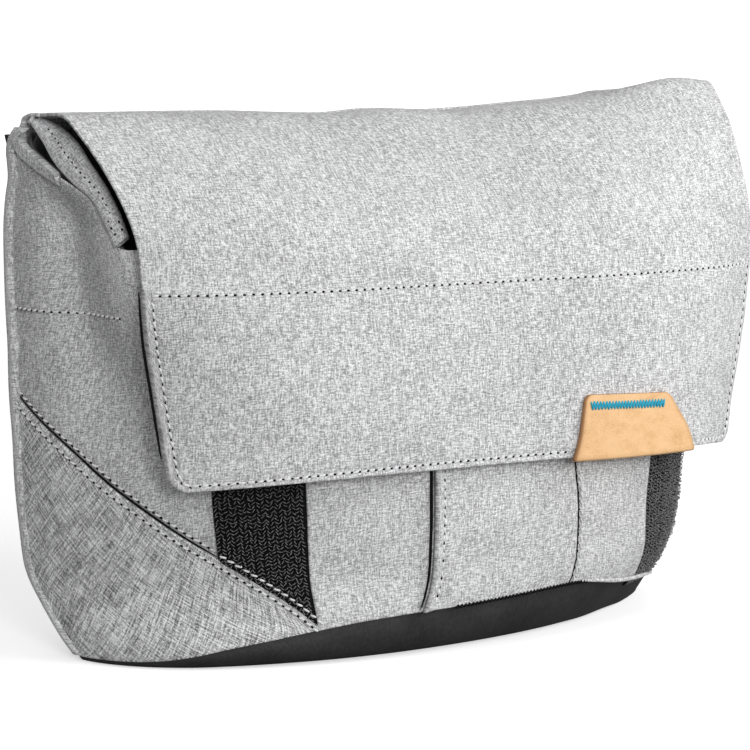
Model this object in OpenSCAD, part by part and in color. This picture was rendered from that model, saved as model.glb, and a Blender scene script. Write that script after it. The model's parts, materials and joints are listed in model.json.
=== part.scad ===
// Small camera pouch: a stuffed canvas body with a coated base, a front pocket between two
// fastener strips, and a flap that hangs from the back's top edge over the mouth.
// X runs across the width, Y from front to back, Z up from the surface it stands on.

/* [Bag] */
// Width across the back corners
bag_w = 242; // [210:1:270]
// Depth of the stuffed body
bag_d = 79; // [72:1:88]
// Height of the flap's top above the floor
bag_h = 168; // [150:1:190]
// How much narrower the front is than the back, low down
front_taper = 0.09; // [0:0.01:0.14]

/* [Fabric] */
// Thickness of the outer canvas
canvas_t = 1.1; // [0.8:0.1:1.4]
// Thickness of the padding in the walls
foam_t = 2.6; // [1.5:0.1:3]
// Thickness of the inner lining
lining_t = 0.7; // [0.5:0.1:1]
// Thickness of the coated base fabric
base_t = 1.6; // [1.2:0.1:2]

/* [Front] */
// Width of each loop fastener strip
strip_w = 27; // [20:1:30]
// Inner edge of the left strip, left of the centre
strip_left_x = 57; // [50:1:62]
// Inner edge of the right strip, right of the centre
strip_right_x = 67; // [60:1:78]
// Folded edge of the pocket's centre panel
pleat_x = -19; // [-24:0.5:-5]
// Seam between the pocket's centre and right panels
pocket_seam_x = 35.5; // [30:0.5:50]
// Slack between the pocket and the wall behind it
pocket_slack = 9.5; // [9:0.5:11]

/* [Flap] */
// Width of the flap along the top
flap_top_w = 240; // [220:1:245]
// Width of the flap along its bottom edge
flap_bottom_w = 203; // [190:1:215]
// Height of the flap's cross seam
flap_seam_z = 114; // [108:1:120]
// Thickness of the stiff sheet in the flap's front
stiffener_t = 0.8; // [0.5:0.1:1]

/* [Back] */
// Width of the belt sleeve
sleeve_w = 100; // [70:1:130]
// Height of the belt sleeve
sleeve_h = 62; // [50:1:70]
// Gap for a belt inside the sleeve
sleeve_gap = 5; // [4.6:0.1:6]
// Width of the webbing in each anchor loop
webbing_w = 13; // [10:1:15]
// Slack of the stretch pocket inside
organiser_gap = 6.5; // [6:0.5:8]

/* [Hidden] */
// Columns and rows in one fabric sheet
wall_cols = 48;
// Clear air between layers that are sewn together
ply = 0.2;
// Height of the base seam at the front and at the back corners
seam_front_z = 12;
seam_back_z = 3.2;
// Where the corner panels end on the back edge
corner_top_z = 77;
// Underside of the flap seen from its outer face, layer by layer
flap_canvas_t = 1.0;
flap_lining_t = 0.6;
hook_t = 1.0;
loop_t = 1.3;
tab_t = 1.4;
// Heights of the flap's top line and of the lowest point of its bottom edge
flap_top_z = 168;
flap_low_z = 57;
// Leather tab: its left and right edges at the bottom and at the top, and its top's height
tab_low_x = [26, 77];
tab_top_x = [32, 63.5];
tab_top_z = 78;

// Shape keys: [height / bag_h, share of the half size]
HALF_WIDTH = [[0, .84], [.04, .89], [.09, .923], [.24, .98], [.5, .996], [.77, 1], [1, .985]];
BACK_FACE = [[0, .45], [.04, .7], [.09, .85], [.18, .93], [.36, .95], [.65, 1], [.82, 1],
    [.92, .88], [1, .6]];
FRONT_FACE = [[0, -.3], [.012, -.48], [.024, -.66], [.07, -.84], [.15, -.93], [.27, -.985],
    [.48, -.975], [.6, -.925], [.68, -.84], [.78, -.68], [.9, -.35], [1, -.1]];
CORNER_POWER = [[0, 2.1], [.3, 2.4], [.55, 3.2], [.75, 5], [1, 5]];
// Top edge of the wall: [turn from the front's centre to the back corner, height / bag_h]
MOUTH = [[0, .75], [.46, .755], [.62, .85], [.76, .9], [1, .978]];
// Side outlines of the flap, at its edge and along its middle: [y, z] from the back down
FLAP_EDGE = [[25.6, 168], [6, 168.3], [-4, 161.5], [-14, 150], [-23, 134], [-25.5, 120], [-25.5, 104],
    [-25.5, 84], [-27, 56]];
FLAP_MID = [[25.6, 168], [4, 168], [-10, 161], [-25, 147], [-37, 131], [-42.5, 115], [-45.5, 98],
    [-46.5, 80], [-46, 59]];

CANVAS = "#b9babc";
BIAS = "#8d8f92";
CHARCOAL = "#3a3b3d";
BLACK = "#141414";
LINING = "#6f7377";
FOAM = "#d9d9d4";
TAN = "#dca367";
BLUE = "#2fb4cf";

// Eases from 0 to 1 as t goes from 0 to 1
function ease(t) = t <= 0 ? 0 : t >= 1 ? 1 : t * t * (3 - 2 * t);
function mix(a, b, t) = a + (b - a) * t;

// Smooth curve through keys [place, value], read at place x
function key_slope(k, i) = let (a = max(i - 1, 0), b = min(i + 1, len(k) - 1))
    (k[b][1] - k[a][1]) / (k[b][0] - k[a][0]);
function key_span(k, x, i = 0) = i >= len(k) - 2 || x <= k[i + 1][0] ? i : key_span(k, x, i + 1);
function smooth(k, x) = let (
        q = min(max(x, k[0][0]), k[len(k) - 1][0]),
        i = key_span(k, q),
        h = k[i + 1][0] - k[i][0],
        t = (q - k[i][0]) / h)
    (2 * t^3 - 3 * t^2 + 1) * k[i][1] + (t^3 - 2 * t^2 + t) * h * key_slope(k, i)
    + (3 * t^2 - 2 * t^3) * k[i + 1][1] + (t^3 - t^2) * h * key_slope(k, i + 1);

// Smooth path through a list of points, read at t from 0 to 1
function path_at(points, t) = let (
        step = 1 / (len(points) - 1),
        keys = function (axis) [for (i = [0:len(points) - 1]) [i * step, points[i][axis]]])
    [smooth(keys(0), t), smooth(keys(1), t)];

// Body size at height z
function half_w(z) = bag_w / 2 * smooth(HALF_WIDTH, z / bag_h);
function back_y(z) = bag_d / 2 * smooth(BACK_FACE, z / bag_h);
function front_y(z) = bag_d / 2 * smooth(FRONT_FACE, z / bag_h);
function taper(z) = front_taper * (1 - ease((z - 60) / 60));

// Outer face of the wall: u turns from -1, the left back corner, through 0, the front, to 1
function wall(u, z, inset = 0) = let (
        a = abs(u) * 90,
        n = smooth(CORNER_POWER, z / bag_h),
        r = (sin(a)^n + cos(a)^n)^(-1 / n),
        across = (half_w(z) - inset) * r * sin(a) * (1 - taper(z) * r * cos(a)),
        reach = (back_y(z) - front_y(z) - inset) * r * cos(a))
    [sign(u) * across, back_y(z) - reach, z];

// Turn u at which the wall passes x, found by halving
function turn_at(x, z, lo = 0, hi = 0.9, n = 14) = n == 0 ? sign(x) * (lo + hi) / 2
    : let (m = (lo + hi) / 2)
    wall(m, z)[0] < abs(x) ? turn_at(x, z, m, hi, n - 1) : turn_at(x, z, lo, m, n - 1);

function seam_z(u) = mix(seam_front_z, seam_back_z, ease((abs(u) - .3) / .7));
function mouth_z(u) = bag_h * smooth(MOUTH, abs(u));

// The wall behind the front pocket stands back by the pocket's slack
function recess(x, z) = pocket_slack * ease((x + strip_left_x - 1) / 7)
    * ease((strip_right_x - 1 - x) / 7) * ease((z - seam_front_z - 2) / 9);
function padded_wall(u, z, inset) = let (p = wall(u, z, inset)) p + [0, recess(p[0], z), 0];

// Flap outer face: p runs across from -1 to 1, q down from the hinge to the bottom edge
function flap_half(z) = mix(flap_bottom_w, flap_top_w, (z - flap_low_z) / (flap_top_z - flap_low_z)) / 2;
function flap_yz(p, q) = mix(path_at(FLAP_MID, q), path_at(FLAP_EDGE, q), abs(p)^3);
function flap(p, q, inset = 0) = let (
        c = flap_yz(p, q),
        run = flap_yz(p, min(q + .01, 1)) - flap_yz(p, min(q + .01, 1) - .01),
        n = [-run[1], run[0]] / norm(run))
    [p * flap_half(c[1]), c[0] + n[0] * inset, c[1] + n[1] * inset];
// Height of the flap's bottom edge
function flap_end(p) = mix(59, 56, abs(p)^3);
// Place q at which the flap passes height z
function flap_q(p, z, lo = .1, hi = 1, n = 14) = n == 0 ? (lo + hi) / 2
    : let (m = (lo + hi) / 2)
    flap_yz(p, m)[1] > z ? flap_q(p, z, m, hi, n - 1) : flap_q(p, z, lo, m, n - 1);

// Closed solid between two grids of points, rows upwards and columns to the right seen from outside
function quad(a, b, c, d) = [[a, b, c], [a, c, d]];
module quilt(outer, inner) {
    rows = len(outer) - 1;
    cols = len(outer[0]) - 1;
    count = (rows + 1) * (cols + 1);
    o = function (r, c) r * (cols + 1) + c;
    i = function (r, c) count + o(r, c);
    faces = [
        for (r = [0:rows - 1]) for (c = [0:cols - 1])
            each concat(
                quad(o(r, c), o(r + 1, c), o(r + 1, c + 1), o(r, c + 1)),
                quad(i(r, c), i(r, c + 1), i(r + 1, c + 1), i(r + 1, c))),
        for (c = [0:cols - 1])
            each concat(
                quad(o(0, c), o(0, c + 1), i(0, c + 1), i(0, c)),
                quad(o(rows, c + 1), o(rows, c), i(rows, c), i(rows, c + 1))),
        for (r = [0:rows - 1])
            each concat(
                quad(o(r + 1, 0), o(r, 0), i(r, 0), i(r + 1, 0)),
                quad(o(r, cols), o(r + 1, cols), i(r + 1, cols), i(r, cols)))];
    polyhedron([for (g = [outer, inner]) for (row = g) each row], faces);
}

// Sheet of fabric on the wall between turns u0 and u1, from inset a to inset b
module wall_sheet(u0, u1, low, high, a, b, cols, rows) {
    grid = function (inset)
        [for (r = [0:rows]) [for (c = [0:cols]) let (u = mix(u0, u1, c / cols))
            padded_wall(u, mix(low(u), high(u), r / rows), inset)]];
    quilt(grid(a), grid(b));
}

// Patch sewn on the front between x0 and x1
module front_patch(x0, x1, low, high, a, b, cols = 6, rows = 10) {
    grid = function (inset)
        [for (r = [0:rows]) [for (c = [0:cols]) let (
                x = mix(x0, x1, c / cols),
                z = mix(low(x), high, r / rows))
            wall(turn_at(x, z), z, inset)]];
    quilt(grid(a), grid(b));
}

// Sheet across the back, from inset a to inset b in front of the back's outer face
module back_sheet(margin, low, high, a, b, cols = 8, rows = 26) {
    grid = function (inset)
        [for (r = [0:rows]) let (z = mix(low, high, r / rows)) [for (c = [0:cols])
            [mix(1, -1, c / cols) * (half_w(z) - margin), back_y(z) - inset, z]]];
    quilt(grid(a), grid(b));
}

module back_panel() {
    color(CANVAS) back_sheet(0, seam_back_z + ply, 165, -ply - canvas_t, -ply);
}

wall_foam_in = canvas_t + ply;
wall_lining_in = wall_foam_in + foam_t + ply;
wall_in = wall_lining_in + lining_t;

module back_foam() {
    color(FOAM) back_sheet(wall_in + 1.5, 10, 158, ply, ply + foam_t);
}

module back_lining() {
    color(LINING) back_sheet(wall_in + 1, 9.2, 160, 2 * ply + foam_t, 2 * ply + foam_t + lining_t);
}

// The wall's three layers share one grid, so that they stay parallel
module wall_layer(a, b) {
    low = function (u) seam_z(u) + ply;
    high = function (u) mouth_z(u);
    wall_sheet(-1, 1, low, high, a, b, wall_cols, 14);
}

module wrap_panel() { color(CANVAS) wall_layer(0, canvas_t); }

module wrap_foam() { color(FOAM) wall_layer(wall_foam_in, wall_foam_in + foam_t); }

module wrap_lining() { color(LINING) wall_layer(wall_lining_in, wall_in); }

// Ring of the base at a share of the seam height, pulled in towards the middle by shrink
function base_ring(share, shrink, inset) = let (
        cols = 40,
        back_cols = 10,
        squeeze = [(1 - shrink) * (1 - inset / 100), (1 - shrink) * (1 - inset / 24)],
        place = function (u) let (z = (seam_z(u) - ply) * share, q = wall(u, z))
            [q[0] * squeeze[0], base_mid_y + (q[1] - base_mid_y) * squeeze[1],
                z + inset * (1 - share)],
        left = place(-1),
        right = place(1))
    concat(
        [for (c = [0:cols]) place(mix(-1, 1, c / cols))],
        [for (c = [1:back_cols - 1]) mix(right, left, c / back_cols)]);

base_mid_y = 3;
module base_panel() {
    shares = [0, 0, .12, .4, .7, 1];
    shrinks = [.6, .1, 0, 0, 0, 0];
    layer = function (inset) [for (k = [0:5]) base_ring(shares[k], shrinks[k], inset)];
    outer = layer(0);
    cols = len(outer[0]);
    rows = len(outer) - 1;
    count = cols * (rows + 1);
    o = function (r, c) r * cols + c % cols;
    i = function (r, c) count + o(r, c);
    middle = 2 * count;
    faces = concat(
        [for (r = [0:rows - 1]) for (c = [0:cols - 1])
            each concat(
                quad(o(r, c), o(r + 1, c), o(r + 1, c + 1), o(r, c + 1)),
                quad(i(r, c), i(r, c + 1), i(r + 1, c + 1), i(r + 1, c)))],
        [for (c = [0:cols - 1])
            each quad(o(rows, c + 1), o(rows, c), i(rows, c), i(rows, c + 1))],
        [for (c = [0:cols - 1])
            each [[o(0, c), o(0, c + 1), middle], [i(0, c + 1), i(0, c), middle + 1]]]);
    points = [for (g = [outer, layer(base_t)]) for (row = g) each row];
    centre = [[0, base_mid_y, 0], [0, base_mid_y, base_t]];
    color(CHARCOAL) polyhedron(concat(points, centre), faces);
}

// Flat plate that follows the wall's outline at height z, well inside it
module floor_plate(z, t, inset) {
    outline = [for (c = [0:32]) let (q = wall(mix(-1, 1, c / 32), z, inset))
        [q[0], min(q[1], back_y(z) - inset)]];
    translate([0, 0, z]) linear_extrude(t) polygon(outline);
}

module base_foam() {
    color(FOAM) floor_plate(2.4, 2.8, 11);
}

module base_board() {
    color(BLACK) floor_plate(5.6, 1.4, 9);
}

module floor_lining() {
    color(LINING) floor_plate(7.3, .8, 8);
}

// Bias-cut panel over a lower corner, under a seam that climbs from the strip to the back edge
function corner_z(u, tip) = mix(seam_front_z - 1, corner_top_z, (max(u - tip, 0) / (1 - tip))^.67);
module corner_panel(tip) {
    low = function (u) seam_z(u) + 2 * ply;
    high = function (u) corner_z(u, tip);
    grid = function (inset)
        [for (r = [0:6]) [for (c = [0:20]) let (u = mix(tip + .012, .98, c / 20))
            wall(u, mix(low(u), high(u), r / 6), inset)]];
    color(BIAS) quilt(grid(-ply - .8), grid(-ply));
}

left_tip = turn_at(strip_left_x, 20);
right_tip = turn_at(strip_right_x, 20);

module left_corner_panel() { mirror([1, 0, 0]) corner_panel(left_tip); }

module right_corner_panel() { corner_panel(right_tip); }

// Loop strip from the corner seam up under the flap
module loop_strip(x0, x1, tip) {
    low = function (x) corner_z(turn_at(x, 25), tip) + 3.4;
    color(BLACK) front_patch(x0, x1, low, 106, -ply - loop_t, -ply);
}

module left_loop_strip() {
    mirror([1, 0, 0]) loop_strip(strip_left_x + .4, strip_left_x + strip_w, left_tip);
}

module right_loop_strip() { loop_strip(strip_right_x + .4, strip_right_x + strip_w, right_tip); }

// Front pocket: three panels, the centre one folded back over the left one
module pocket_panel(x0, x1, a, b) {
    low = function (x) seam_front_z + .6;
    color(CANVAS) front_patch(x0, x1, low, 108, a, b);
}

module pocket_left_panel() {
    pocket_panel(-strip_left_x, pleat_x + 4, -ply - canvas_t, -ply);
}

module pocket_centre_panel() {
    cols = 14;
    rows = 14;
    fold_w = 8;
    x1 = pocket_seam_x - .2;
    rise = function (x) (canvas_t + ply) * (1 - ease((x - pleat_x - 4) / fold_w));
    grid = function (inset)
        [for (r = [0:rows]) let (z = mix(seam_front_z + .6, 108, r / rows))
            [for (c = [0:cols]) let (x = mix(pleat_x, x1, c / cols))
                wall(turn_at(x, z), z, inset - rise(x))]];
    color(CANVAS) quilt(grid(-ply - 1.6), grid(-ply));
}

module pocket_right_panel() {
    pocket_panel(pocket_seam_x + .2, strip_right_x, -ply - canvas_t, -ply);
}

// Folded hems around the mouth, from column c0 to column c1 of the wall on each side of the front
module mouth_hem(c0, c1, drop, t) {
    low = function (u) mouth_z(u) - drop;
    high = function (u) mouth_z(u) + .8;
    half = wall_cols / 2;
    color(CANVAS) wall_sheet(c0 / half, c1 / half, low, high, -ply - t, -ply, round(c1 - c0), 3);
}

module front_mouth_band() { mouth_hem(-12, 12, 10, 1.1); }

module right_mouth_band() { mouth_hem(12.1, 19, 11, 1.6); }

module left_mouth_band() { mirror([1, 0, 0]) right_mouth_band(); }

module right_rear_band() { mouth_hem(19.1, 23.2, 6, 1); }

module left_rear_band() { mirror([1, 0, 0]) right_rear_band(); }

// Raised seam along each back edge
module edge_welt() {
    out = canvas_t + ply;
    grid = function (x) [for (r = [0:16]) let (z = mix(seam_back_z + ply, 163, r / 16))
        [for (y = [out, -1.4]) [-half_w(z) - x, back_y(z) + y, z]]];
    color(CANVAS) quilt(grid(1.6), grid(.3));
}

module left_edge_welt() { edge_welt(); }

module right_edge_welt() { mirror([1, 0, 0]) edge_welt(); }

// Loop of webbing that stands off the back near each top corner
module anchor_loop() {
    slot = 4.6;
    long = 23;
    t = 1.4;
    edge_gap = 4;
    low = 147.5;
    color(BLACK) translate([half_w(low) - long - edge_gap, back_y(low) + canvas_t + .6, low])
        linear_extrude(webbing_w) difference() {
            square([long, slot + 2 * t]);
            translate([t, t]) square([long - 2 * t, slot]);
        }
}

module left_anchor_loop() { mirror([1, 0, 0]) anchor_loop(); }

module right_anchor_loop() { anchor_loop(); }

// Tape that binds the flap to the back's top edge
module flap_binding() {
    color(CANVAS) translate([-half_w(165) + 3, 21.5, 165.3]) cube([2 * half_w(165) - 6, 5, .8]);
}

// Sleeve for a waist belt, open at both sides
module belt_sleeve() {
    t = 1.3;
    z0 = 60;
    y0 = bag_d / 2 + canvas_t + .5;
    deep = sleeve_gap + t;
    foot = function (z) back_y(z) + canvas_t + 3 * ply - y0;
    color(CANVAS) translate([-sleeve_w / 2, y0, z0]) rotate([90, 0, 90]) linear_extrude(sleeve_w)
        difference() {
            polygon([[foot(z0), 0], [deep, 6], [deep, sleeve_h - 6], [foot(z0 + sleeve_h), sleeve_h]]);
            translate([-t * 2, 7]) square([deep + t, sleeve_h - 14]);
        }
}

// Stretch pocket inside, across the back wall
module organiser(z0, z1, a, b) {
    grid = function (inset)
        [for (r = [0:8]) let (z = mix(z0, z1, r / 8)) [for (c = [0:8])
            [mix(1, -1, c / 8) * 84, back_y(z) - inset, z]]];
    quilt(grid(a), grid(b));
}
organiser_in = 3 * ply + foam_t + lining_t + organiser_gap;

module organiser_panel() { color(BIAS) organiser(12, 92, organiser_in, organiser_in + .8); }

module organiser_binding() { color(BLACK) organiser(92.2, 98, organiser_in - .3, organiser_in + 1.2); }

// Sheet of the flap between places q(p), from inset a to inset b
module flap_sheet(p0, p1, low, high, a, b, cols = 20, rows = 8) {
    grid = function (inset)
        [for (r = [0:rows]) [for (c = [0:cols]) let (p = mix(p0, p1, c / cols))
            flap(p, mix(low(p), high(p), r / rows), inset)]];
    quilt(grid(a), grid(b));
}

flap_lining_in = flap_canvas_t + stiffener_t + 2 * ply;
hook_in = flap_lining_in + flap_lining_t + ply;

module flap_upper_panel() {
    low = function (p) flap_q(p, flap_seam_z + .5);
    high = function (p) 0;
    color(CANVAS) flap_sheet(-1, 1, low, high, 0, .9);
}

module flap_upper_lining() {
    low = function (p) flap_q(p, flap_seam_z + .5);
    high = function (p) 0;
    color(LINING) flap_sheet(-1, 1, low, high, .9 + ply, 1.4 + ply);
}

module lower_sheet(margin, a, b) {
    low = function (p) flap_q(p, flap_end(p) + margin);
    high = function (p) flap_q(p, flap_seam_z - .5 - margin);
    flap_sheet(-1 + margin / 100, 1 - margin / 100, low, high, a, b);
}

module flap_lower_panel() { color(CANVAS) lower_sheet(0, 0, flap_canvas_t); }

module flap_stiffener() {
    outer = flap_canvas_t + ply;
    color(BLACK) lower_sheet(4, outer, outer + stiffener_t);
}

module flap_lower_lining() {
    color(LINING) lower_sheet(.5, flap_lining_in, flap_lining_in + flap_lining_t);
}

// Hook strip under the flap, facing its loop strip
module hook_strip(x0, x1) {
    low = function (p) flap_q(p, 70);
    high = function (p) flap_q(p, 104);
    half = flap_half(86);
    color(BLACK) flap_sheet(x0 / half, x1 / half, low, high, hook_in, hook_in + hook_t, 5, 6);
}

module left_hook_strip() { hook_strip(-strip_left_x - 24, -strip_left_x - 2); }

module right_hook_strip() { hook_strip(strip_right_x + 2, strip_right_x + 24); }

// Leather tab folded around the flap's bottom edge
function tab_left(z) = mix(tab_low_x[0], tab_top_x[0], ease((z - 56) / 20));
function tab_right(z) = mix(tab_low_x[1], tab_top_x[1], (max(z - 56, 0) / (tab_top_z - 56))^1.4);

module leather_tab() {
    cols = 6;
    back_in = hook_in + .2;
    // Rows of the leather: [height on the flap, share across the fold, drop below the flap's edge]
    back_rows = [for (z = [68:-3:59]) [z, 1, 0]];
    fold_rows = [[57, 1, 1], [57, 0, 1]];
    front_rows = [for (z = [57.5, 60, 64, 68, 72, 75, tab_top_z]) [z, 0, 0]];
    grid = function (gap) [for (row = concat(back_rows, fold_rows, front_rows)) [for (c = [0:cols]) let (
            x = mix(tab_left(row[0]), tab_right(row[0]), c / cols),
            p = x / flap_half(row[0]),
            q = row[2] > 0 ? 1 : flap_q(p, max(row[0], flap_end(p))))
        flap(p, q, mix(-ply - gap, back_in + gap, row[1])) - [0, 0, row[2] * (ply + gap)]]];
    color(TAN) quilt(grid(tab_t), grid(0));
}

// Bar of thread that sews the tab's top edge
module tab_bartack() {
    z0 = 73.6;
    z1 = 76.6;
    face = -ply - tab_t;
    low = function (p) flap_q(p, z0);
    high = function (p) flap_q(p, z1);
    half = flap_half(z0);
    color(BLUE) flap_sheet(33.5 / half, 62 / half, low, high, face - .9, face - .15, 8, 2);
}

back_panel();
back_foam();
back_lining();
wrap_panel();
wrap_foam();
wrap_lining();
base_panel();
base_foam();
base_board();
floor_lining();
left_corner_panel();
right_corner_panel();
left_loop_strip();
right_loop_strip();
pocket_left_panel();
pocket_centre_panel();
pocket_right_panel();
front_mouth_band();
left_mouth_band();
right_mouth_band();
left_rear_band();
right_rear_band();
left_edge_welt();
right_edge_welt();
left_anchor_loop();
right_anchor_loop();
flap_binding();
belt_sleeve();
organiser_panel();
organiser_binding();
flap_upper_panel();
flap_upper_lining();
flap_lower_panel();
flap_stiffener();
flap_lower_lining();
left_hook_strip();
right_hook_strip();
leather_tab();
tab_bartack();
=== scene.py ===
import json
import math
import random

import bpy
import numpy as np
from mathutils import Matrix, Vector, kdtree, noise

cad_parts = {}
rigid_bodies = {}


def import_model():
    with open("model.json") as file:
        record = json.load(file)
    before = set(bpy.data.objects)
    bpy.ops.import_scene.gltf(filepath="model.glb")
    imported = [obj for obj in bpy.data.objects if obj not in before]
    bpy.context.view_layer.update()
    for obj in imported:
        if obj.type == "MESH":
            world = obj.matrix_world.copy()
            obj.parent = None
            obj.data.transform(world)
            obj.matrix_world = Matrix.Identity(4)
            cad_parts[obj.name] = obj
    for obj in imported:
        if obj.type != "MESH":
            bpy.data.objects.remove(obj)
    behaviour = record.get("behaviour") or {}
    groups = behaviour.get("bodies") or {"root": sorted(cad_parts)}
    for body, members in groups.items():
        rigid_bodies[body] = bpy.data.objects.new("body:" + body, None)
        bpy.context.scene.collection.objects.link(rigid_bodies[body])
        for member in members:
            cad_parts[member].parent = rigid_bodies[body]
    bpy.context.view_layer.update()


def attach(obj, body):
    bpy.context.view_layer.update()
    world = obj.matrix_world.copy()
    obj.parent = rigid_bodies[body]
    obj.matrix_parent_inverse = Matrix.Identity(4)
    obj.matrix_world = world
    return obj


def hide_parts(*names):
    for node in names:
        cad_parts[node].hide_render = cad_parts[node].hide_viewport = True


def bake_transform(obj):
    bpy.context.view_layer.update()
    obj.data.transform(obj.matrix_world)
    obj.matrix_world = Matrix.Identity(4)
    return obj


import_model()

# ---------------------------------------------------------------------------
# Dimensions in millimetres. The shape functions are those of the CAD model, and their keys follow the
# photograph a little closer.
# ---------------------------------------------------------------------------
MM = 0.001
# One seeded source for the small irregularities of the threads
rng = random.Random(7)
BAG_W, BAG_D, BAG_H = 242.0, 79.0, 168.0
TAPER = 0.09
CANVAS_T, FOAM_T, LINING_T = 1.1, 2.6, 0.7
PLY = 0.2
SEAM_FRONT_Z, SEAM_BACK_Z = 12.0, 3.2
CORNER_TOP_Z = 80.0
FLAP_SEAM_Z = 114.0
STRIP_W, STRIP_LEFT_X, STRIP_RIGHT_X = 25.0, 59.2, 69.5
PLEAT_X, POCKET_SEAM_X = -19.0, 35.5
POCKET_SLACK = 9.5
# Height at which x places on the front are read; the wall's own lines carry them up and down from there
MID_Z = 56.0
FLANK_SEAM_Z, TAPE_TOP_Z, POCKET_TOP_Z = 106.0, 106.0, 108.0
RIGHT_STRIP_EXTRA = 6.0
FLAP_FOOT_Z, CORNER_R = 56.0, 5.0
TAB_MIDDLE_X = 46.0
# The photograph's camera: degrees round to the left and degrees down
VIEW_TURN, VIEW_TILT = 32.0, 6.92

# Shape keys: (height / BAG_H, share of the half size)
HALF_WIDTH = [(0, .885), (.04, .908), (.09, .928), (.24, .98), (.5, .996), (.77, 1), (1, .985)]
BACK_FACE = [(0, .62), (.04, .76), (.09, .86), (.18, .93), (.36, .95), (.65, 1), (.82, 1),
             (.92, .88), (1, .6)]
FRONT_FACE = [(0, -.60), (.012, -.70), (.024, -.77), (.07, -.87), (.15, -.93), (.27, -.985),
              (.48, -.975), (.6, -.925), (.68, -.84), (.78, -.68), (.9, -.35), (1, -.1)]
CORNER_POWER = [(0, 2.1), (.3, 2.4), (.55, 3.2), (.75, 5), (1, 5)]
MOUTH = [(0, .752), (.5, .752), (.566, .757), (.578, .80), (.59, .838), (.62, .86), (.70, .888), (.76, .902),
         (.85, .92), (.947, .945), (1, .974)]
# Height of the base seam along the wall's turn, on the left and on the right
SEAM_LEFT = [(0, 15.6), (.12, 14.8), (.25, 13.4), (.34, 11.6), (.43, 9.2), (.53, 6.6), (.6, 4.6), (.68, 2.9),
             (.78, 2.0), (1, 1.6)]
SEAM_RIGHT = [(0, 15.6), (.18, 16.8), (.26, 16.6), (.4, 13.2), (.7, 8.4), (1, 6)]
# Side outlines of the flap, at its edge and along its middle: (y, z) from the back down
FLAP_EDGE = [(25.6, 168), (6, 168.3), (-4, 161.5), (-14, 150), (-23, 134), (-25.5, 120), (-25.5, 104),
             (-25.5, 84), (-27, 56)]
FLAP_MID = [(25.6, 168), (4, 168), (-10, 161), (-25, 147), (-37, 131), (-42.5, 115), (-45.5, 98),
            (-46.5, 80), (-46, 59)]


def ease(t):
    t = np.clip(t, 0, 1)
    return t * t * (3 - 2 * t)


def mix(a, b, t):
    return a + (b - a) * t


def smooth(keys, x):
    """Smooth curve through (place, value) keys, read at x."""
    kx = np.array([k[0] for k in keys], float)
    ky = np.array([k[1] for k in keys], float)
    n = len(kx)
    lo = np.maximum(np.arange(n) - 1, 0)
    hi = np.minimum(np.arange(n) + 1, n - 1)
    slope = (ky[hi] - ky[lo]) / (kx[hi] - kx[lo])
    x = np.clip(x, kx[0], kx[-1])
    i = np.clip(np.searchsorted(kx, x) - 1, 0, n - 2)
    h = kx[i + 1] - kx[i]
    t = (x - kx[i]) / h
    return ((2 * t**3 - 3 * t**2 + 1) * ky[i] + (t**3 - 2 * t**2 + t) * h * slope[i]
            + (3 * t**2 - 2 * t**3) * ky[i + 1] + (t**3 - t**2) * h * slope[i + 1])


def half_w(z):
    """Half width of the bag at height z."""
    return BAG_W / 2 * smooth(HALF_WIDTH, z / BAG_H)


def back_y(z):
    return BAG_D / 2 * smooth(BACK_FACE, z / BAG_H)


def front_y(z):
    return BAG_D / 2 * smooth(FRONT_FACE, z / BAG_H)


def seam_z(u):
    """Height of the base seam at turn u of the wall."""
    return np.where(np.asarray(u) < 0, smooth(SEAM_LEFT, np.abs(u)), smooth(SEAM_RIGHT, np.abs(u)))


def mouth_z(u):
    """Height of the wall's upper edge at turn u."""
    return BAG_H * smooth(MOUTH, np.abs(u))


def wall(u, z, inset=0.0):
    """Outer face of the wall: u turns from -1, the left back corner, through the front, to 1."""
    u, z = np.broadcast_arrays(np.asarray(u, float), np.asarray(z, float))
    a = np.abs(u) * math.pi / 2
    n = smooth(CORNER_POWER, z / BAG_H)
    r = (np.sin(a)**n + np.cos(a)**n)**(-1 / n)
    taper = TAPER * (1 - ease((z - 60) / 60))
    across = (half_w(z) - inset) * r * np.sin(a) * (1 - taper * r * np.cos(a))
    reach = (back_y(z) - front_y(z) - inset) * r * np.cos(a)
    return np.stack([np.sign(u) * across, back_y(z) - reach, z], -1)


def turn_at(x, z):
    """Turn u at which the wall passes x at height z."""
    x, z = np.broadcast_arrays(np.asarray(x, float), np.asarray(z, float))
    lo, hi = np.zeros(x.shape), np.full(x.shape, .9)
    for _ in range(24):
        m = (lo + hi) / 2
        inside = wall(m, z)[..., 0] < np.abs(x)
        lo, hi = np.where(inside, m, lo), np.where(inside, hi, m)
    return np.sign(x) * (lo + hi) / 2


def front(x, z, inset=0.0):
    """The wall addressed by x at mid height; what is sewn there follows the wall's own lines down."""
    return wall(turn_at(x, MID_Z), z, inset)


def recess(x, z):
    """How far the front falls back between the fastener tapes."""
    return (POCKET_SLACK * ease((x + STRIP_LEFT_X - 1) / 7) * ease((STRIP_RIGHT_X - 1 - x) / 7)
            * ease((z - SEAM_FRONT_Z - 2) / 9) * (1 - ease((z - 104) / 13)))


def padded_wall(u, z, inset=0.0):
    """The wall with the slack between its fastener tapes."""
    p = wall(u, z, inset)
    p[..., 1] += recess(p[..., 0], p[..., 2])
    return p


def back(x, z, inset=0.0):
    """Back wall; inset runs forwards, into the bag."""
    x, z = np.broadcast_arrays(np.asarray(x, float), np.asarray(z, float))
    return np.stack([x, back_y(z) - inset, z], -1)


def flap_half(z):
    return mix(101.5, 120.0, (z - 57) / 111)


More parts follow.
